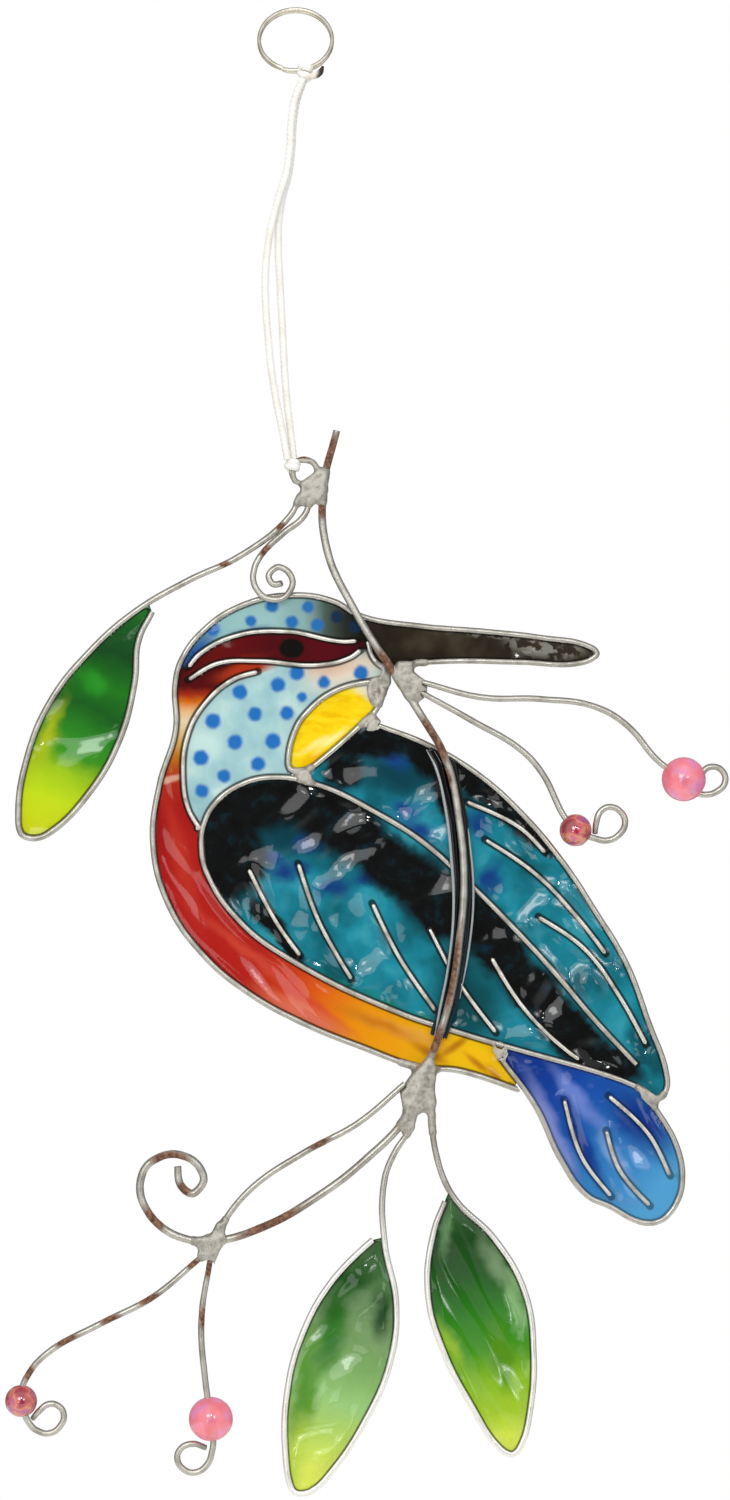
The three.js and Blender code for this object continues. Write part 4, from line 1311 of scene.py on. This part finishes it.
for solid in [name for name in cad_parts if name.endswith("_solder")]:
    joint = copy_of(solid, solid + "_set")
    remesh(joint)
    push(joint, -SHRUNK)
    tubes = sleeves(solid)
    only(joint)
    for tube in tubes:
        tube.select_set(True)
    bpy.ops.object.join()
    remesh(joint)
    for far in (FILLS, -FILLS):
        push(joint, far)
        remesh(joint)
    modify(joint, "SMOOTH", factor=0.5, iterations=14)
    modify(joint, "DISPLACE", texture=lumpy, texture_coords="LOCAL", strength=LUMPY, mid_level=0.4)
    finish_piece(joint, solder_tin, "solder", solid, angle=70)
    print(solid, len(tubes), "wires,", len(joint.data.polygons), "faces")

# %% [markdown]
# ## The resin that glues the stem
# The stem is glued to the bird along its length with dark resin, which climbs up the wire on both sides and
# ends in a rim. The solid is diced, cut off at the bird's outline and softened. The rim stands up in a thin
# line, crisper on the side of the head, so it is a wire of its own, whose pale colour is a painted highlight.

# %% The glue line
BORDERS = (  # where the bird's own wires end it: a point of the drawing, and the way out of the bird
    (px(440, 752), (0.5, 1.0)),
    (px(440, 1037), (-0.3, -1.0)),
)
GLUE_DICE = 0.9 * MM
GLUE_CUBE = 0.22 * MM
RIM_DEPTH = 0.35 * MM  # of a rim's middle behind the glue's front
LEFT_RIM = [
    (30.6, -69.4), (33, -74), (35.2, -83), (36.8, -96), (37.4, -110), (36, -124), (33.4, -137),
    (32.6, -141),
]
RIGHT_RIM = [(39.7, -82.3), (41.4, -93), (42.3, -106), (41.2, -119), (38.9, -131.6)]
RIMS = {"stem_fillet_left_rim": (LEFT_RIM, 0.42 * MM), "stem_fillet_right_rim": (RIGHT_RIM, 0.3 * MM)}

glue = copy_of("stem_fillet", "stem_fillet_run")
edit(glue)
dice(glue, GLUE_DICE)
for point, (out_x, out_z) in BORDERS:
    bpy.ops.mesh.select_all(action="SELECT")
    bpy.ops.mesh.bisect(plane_co=spot(*point), plane_no=(out_x, 0, out_z), use_fill=True, clear_outer=True)
leave()
modify(glue, "REMESH", mode="VOXEL", voxel_size=GLUE_CUBE)
modify(glue, "SMOOTH", factor=0.5, iterations=8)

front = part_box("stem_fillet")[0].y + RIM_DEPTH
rims = [
    to_mesh(in_line(name, [spot(x, z, front) for x, z in points], radius, ends=0.3))
    for name, (points, radius) in RIMS.items()
]
print("glue:", len(glue.data.polygons), "faces and", len(rims), "rims")

# %% [markdown]
# The glue is the same resin, tinted teal at the foot and nearly black above. Its rims are painted pale grey
# and a little metallic: a painted highlight that stands for the room mirrored in their wet edges.

# %% Resin for the glue
GLUE = [(-142, "#15303a"), (-100, "#17191b"), (-70, "#121212")]

dark_resin = resin("dark_resin_glue", lambda tree, place: graded(tree, split(tree, place)[2], GLUE), 0.0)
# Painted highlight: the rims' pale grey, a little metallic colour stands for the shine of wet resin edges.
rim_painted_highlight, tree, _ = new_material("resin_rim_painted_highlight")
surface(tree, {"Base Color": "#a8adad", "Roughness": 0.18, "IOR": RESIN_IOR, "Metallic": 0.35})
finish_piece(glue, dark_resin, "dark_resin", "stem_fillet")
for rim in rims:
    finish_piece(rim, rim_painted_highlight, "dark_resin")
print("glue paint:", len(dark_resin.node_tree.nodes), "nodes")

# %% [markdown]
# ## Beads
# Two beads are pink glass with a milky core and two are red with a rainbow coat. A bead is a ball that was
# drilled and tumbled, so its hole has a rounded rim. The wire goes through it. So the ball's poles are cut
# out and bridged, which is the drilling, and the ball is turned until its hole lies along the wire.

# %% String the beads
HOLE = 0.9 * MM  # the ball's skin is cut out within this radius
BEADS = {"pink": 11 * MM, "red": 8 * MM}


def bead(solid, diameter):
    """A drilled ball, with its hole along the wire."""
    middles, _ = lines[solid + "_wire"]
    nearest, _ = nearest_middle(middles, solid)
    axis = (middles[min(nearest + 1, len(middles) - 1)] - middles[nearest - 1]).normalized()
    bpy.ops.mesh.primitive_uv_sphere_add(segments=48, ring_count=32, radius=diameter / 2)
    ball = bpy.context.object
    ball.name = solid + "_drilled"
    bpy.ops.object.mode_set(mode="EDIT")
    bpy.ops.mesh.select_all(action="DESELECT")
    leave()
    for vertex in ball.data.vertices:
        vertex.select = math.hypot(vertex.co.x, vertex.co.y) < HOLE and abs(vertex.co.z) > diameter / 3
    bpy.ops.object.mode_set(mode="EDIT")
    bpy.ops.mesh.delete(type="VERT")
    bpy.ops.mesh.select_all(action="SELECT")
    bpy.ops.mesh.region_to_loop()
    bpy.ops.mesh.bridge_edge_loops(number_cuts=6)
    bpy.ops.mesh.select_all(action="SELECT")
    bpy.ops.mesh.normals_make_consistent(inside=False)
    leave()
    ball.rotation_euler = Vector((0, 0, 1)).rotation_difference(axis).to_euler()
    ball.location = middles[nearest]
    only(ball)
    bpy.ops.object.transform_apply(location=True, rotation=True, scale=True)
    return ball


beads = {
    name: bead(name, BEADS[name.split("_")[0]])
    for name in ("pink_upper_bead", "red_upper_bead", "red_lower_bead", "pink_lower_bead")
}
print({name: len(ball.data.polygons) for name, ball in beads.items()})

# %% [markdown]
# The pink beads are clear glass with milky clouds, so they let the light through and blur it, under a pearl
# coat. The red ones are nearly opaque, and their coat of metal salts breaks into gold and violet.

# %% Glass
COAT_THICK = 430  # nanometres of the pearl coat, which gives it a rainbow
PEARL_IOR = 1.9  # of the coat, above glass, because pearl and metal salts mirror more
FILM_IOR = 1.7
PINKS = [(0.36, "#ff8c9e"), (0.5, "#ff9fb4"), (0.62, "#f6aae0")]
REDS = [(0.34, "#a01c38"), (0.45, "#cc2a50"), (0.53, "#ec8e60"), (0.58, "#dc5484"), (0.66, "#b44aa0")]


def bead_glass(name, size, stops, glow, feeds):
    """Glass with clouds of colour of that size in millimetres under a thin shiny coat."""
    material, tree, place = new_material(name)
    clouds = put(tree, "TexNoise", {"Vector": place, "Scale": 1 / size, "Detail": 2.0}).outputs["Fac"]
    coat = {"Coat Weight": 1.0, "Coat Roughness": 0.03, "Coat IOR": PEARL_IOR,
            "Thin Film Thickness": COAT_THICK, "Thin Film IOR": FILM_IOR}
    surface(tree, {"Base Color": graded(tree, clouds, stops), **coat, **feeds}, glow)
    return material


pink_glass = bead_glass("pearl_pink_glass", 4.0, PINKS, 0.35,
                        {"Transmission Weight": 0.3, "Roughness": 0.3, "IOR": 1.45})
rainbow_glass = bead_glass("rainbow_red_glass", 4.6, REDS, 0.12, {"Metallic": 0.2, "Roughness": 0.2})
for solid, ball in beads.items():
    pink = solid.startswith("pink")
    finish_piece(ball, pink_glass if pink else rainbow_glass, "pink_bead" if pink else "red_bead", solid)
print("thin coat on the beads:", COAT_THICK, "nm")

# %% [markdown]
# ## The split ring
# A split ring is one flat wire wound twice on itself and pressed flat. Its two ends lie opposite each other
# as small steps, and the groove between its turns shows from the side.

# %% Wind the ring
RING_WIRE = 0.47 * MM  # radius
RING_START = math.radians(200)
TURNS = 2
FACETS = 96
STEPS_OVER = 0.12  # share of the wire's length in which it steps over to its other turn


def ring_point(angle, radius, rise):
    """A point of the ring, which hangs on the part's origin and leans its lower edge forward."""
    middle = RING_OUTER / 2 - RING_BAND
    down = middle - radius * math.cos(angle)
    return Vector((
        radius * math.sin(angle),
        -down * math.sin(RING_LEAN) + rise * math.cos(RING_LEAN),
        -down * math.cos(RING_LEAN) - rise * math.sin(RING_LEAN),
    ))


def coil_rise(share):
    """Each turn lies flat for most of its length and steps over to the next in a short ramp."""
    way = min(1.0, max(0.0, (share - 0.5) / STEPS_OVER + 0.5))
    return (way * way * (3 - 2 * way) - 0.5) * RING_COIL


coil = []
for i in range(FACETS * TURNS + 1):
    share = i / (FACETS * TURNS)
    angle = RING_START + share * TURNS * 2 * math.pi
    coil.append(ring_point(angle, RING_OUTER / 2 - RING_BAND / 2, coil_rise(share)))
split_ring = to_mesh(in_line("split_ring_wound", coil, RING_WIRE, ends=0.8, steps=1))
print("split ring:", len(split_ring.data.polygons), "faces")

# %% [markdown]
# The split ring is plated with nickel, which is a warm grey and shinier than tin. Handling wore it in soft
# patches, so its gloss varies.

# %% Nickel
nickel, tree, place = new_material("nickel_plate")
patchy = put(tree, "TexNoise", {"Vector": place, "Scale": 1 / 2.5, "Detail": 3.0}).outputs["Fac"]
surface(tree, {
    "Base Color": graded(tree, patchy, [(0.35, "#d8d0ba"), (0.6, "#f2ecdc")]), "Metallic": 1.0,
    "Roughness": smooth_step(tree, patchy, 0.4, 0.6, 0.3, 0.42),
})
finish_piece(split_ring, nickel, "nickel_ring", "split_ring")
print("nickel:", len(nickel.node_tree.nodes), "nodes")

# %% [markdown]
# ## Knots
# At both ends the cord is tied. A knot this small is read by its turns: the cord goes round itself twice,
# tightly, so each knot is two snug turns and the strands that leave it. The top one ends in a short tail.
# It was singed so that it doesn't fray, so its cotton is charred brown at the tip.

# %% Tie the knots
KNOT = 4.4 * MM
KNOT_TURNS = 2.2
KNOT_STOPS = 40
TAIL_RADIUS = 0.8 * MM
TAIL_POINTS = ((0, 1, -1.4), (2.2, 0, -1.6), (3.8, 0.1, -0.6), (4.5, 0.2, 0.9))  # mm from the top knot


def knot_line(centre, tall, deep, tilt):
    """A tight winding round an upright axis, as points. deep is its depth as a share of its width."""
    points = []
    for i in range(KNOT_STOPS + 1):
        share = i / KNOT_STOPS
        angle = 2 * math.pi * KNOT_TURNS * share + tilt
        radius = (KNOT - CORD) / 2 * (0.5 + 0.5 * math.sin(math.pi * share))
        points.append(centre + Vector((
            radius * math.cos(angle), deep * radius * math.sin(angle), tall * (0.5 - share)
        )))
    return points


singed_cotton, tree, place = new_material("singed_cotton")
charred = smooth_step(tree, slanted(tree, ragged(tree, place, 1.5, 0.6), 0), 2.6, 4.0)
surface(tree, {"Base Color": blend_colour(tree, charred, "#e9e2d2", "#3a2c22"), "Roughness": 0.8})

KNOTS = {"cord_knot_top": (KNOT_TOP, KNOT, 1.1, 0.4), "cord_knot_bottom": (KNOT_BOTTOM, 2.4 * MM, 1.2, 2.0)}
for solid, winding in KNOTS.items():
    knot, _ = laid_cord(solid + "_tied", knot_line(*winding))
    finish_piece(knot, cotton, "white_cord", solid, angle=80)
tail_start = KNOT_TOP - Vector((0, KNOT / 2, 0))
tail_line = [tail_start + Vector(point) * MM for point in TAIL_POINTS]
singed_tail = to_mesh(in_line("cord_tail_singed", tail_line, TAIL_RADIUS, ends=0.4, sides=14))
finish_piece(singed_tail, singed_cotton, "white_cord", angle=80)

# %% [markdown]
# ## The studio
# The photograph is lit softly from the front and from behind: the background is white, and it glows through
# the resin. What glossy resin and tin mirror is the room, so its brightness depends on the direction. The
# camera sees it white, also through clear glass.

# %% The room
ROOM = [(0.0, 0.12), (0.035, 0.12), (0.08, 0.85), (0.3, 0.85), (0.46, 0.3), (1.0, 0.3)]  # front to back
WHITE = (1, 1, 1, 1)

world = bpy.data.worlds.new("white_studio")
bpy.context.scene.world = world
world.use_nodes = True
tree = world.node_tree
tree.nodes.clear()
ray = put(tree, "LightPath")
seen = either(tree, ray.outputs["Is Camera Ray"], ray.outputs["Is Transmission Ray"])
looks_along = split(tree, put(tree, "TexCoord").outputs["Generated"])[1]
share = put(tree, "MapRange", {"Value": looks_along, "From Min": -1.0, "From Max": 1.0}).outputs[0]
room = ramp(tree, share, [(at, (bright, bright, bright, 1)) for at, bright in ROOM])
background = put(tree, "Background", {"Color": blend_colour(tree, seen, room, WHITE), "Strength": 1.0})
put(tree, "OutputWorld", {"Surface": background.outputs[0]})
print("room:", len(ROOM), "stops")

# %% [markdown]
# Ripples in resin show as the mirrored shapes of lamps. A softbox is brightest where its bulb is, so the two
# main ones have a small bright light just in front of a larger, weaker one. The ones that only brighten the
# floor and the resin's back aren't mirrored.

# %% Lights
LIGHTS = {  # direction from the bird, distance, size, radiance, and whether glossy things show it
    "key_softbox": ((-0.24, -0.93, 0.27), 1.6, 0.62, 3.4, True),
    "key_bulb": ((-0.24, -0.93, 0.27), 1.58, 0.2, 10, True),
    "second_softbox": ((0.34, -0.93, 0.2), 1.7, 0.4, 3, True),
    "second_bulb": ((0.34, -0.93, 0.2), 1.68, 0.14, 10, True),
    "low_softbox": ((-0.3, -0.93, -0.14), 1.7, 0.42, 2.4, True),
    "top_softbox": ((0, -0.2, 1), 1.5, 1.2, 2.2, False),
    "small_lamp": ((0.06, -0.93, 0.36), 1.5, 0.06, 120, True),
    "back_softbox": ((0.15, 0.9, 0.35), 1.5, 1.4, 2.2, False),
}
for name, (toward, distance, size, radiance, mirrored) in LIGHTS.items():
    data = bpy.data.lights.new(name, "AREA")
    data.shape = "SQUARE"
    data.size = size
    data.energy = radiance * math.pi * size * size
    light = bpy.data.objects.new(name, data)
    bpy.context.scene.collection.objects.link(light)
    light.location = VIEW_MIDDLE + Vector(toward).normalized() * distance
    light.rotation_euler = (VIEW_MIDDLE - light.location).to_track_quat("-Z", "Y").to_euler()
    light.visible_glossy = mirrored
print(len(LIGHTS), "lights")

# %% [markdown]
# The object hangs, so the floor is well below it, outside the photograph's view.

# %% The floor
FLOOR_DROP = 90 * MM
FLOOR_RADIUS = 0.4  # metres
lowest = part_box("left_leaf_wire")[0].z
bpy.ops.mesh.primitive_circle_add(vertices=96, radius=FLOOR_RADIUS, fill_type="NGON",
                                  location=(VIEW_MIDDLE.x, BIRD_Y, lowest - FLOOR_DROP))
floor = bpy.context.object
floor.name = "floor"
pale, tree, _ = new_material("pale_floor")
surface(tree, {"Base Color": "#f4f3f0", "Roughness": 0.9})
floor.data.materials.append(pale)

scene = bpy.context.scene
scene.view_settings.view_transform = "Standard"
scene.view_settings.look = "None"
print("floor", round((ZERO.z - floor.location.z) / MM), "mm below the eye")
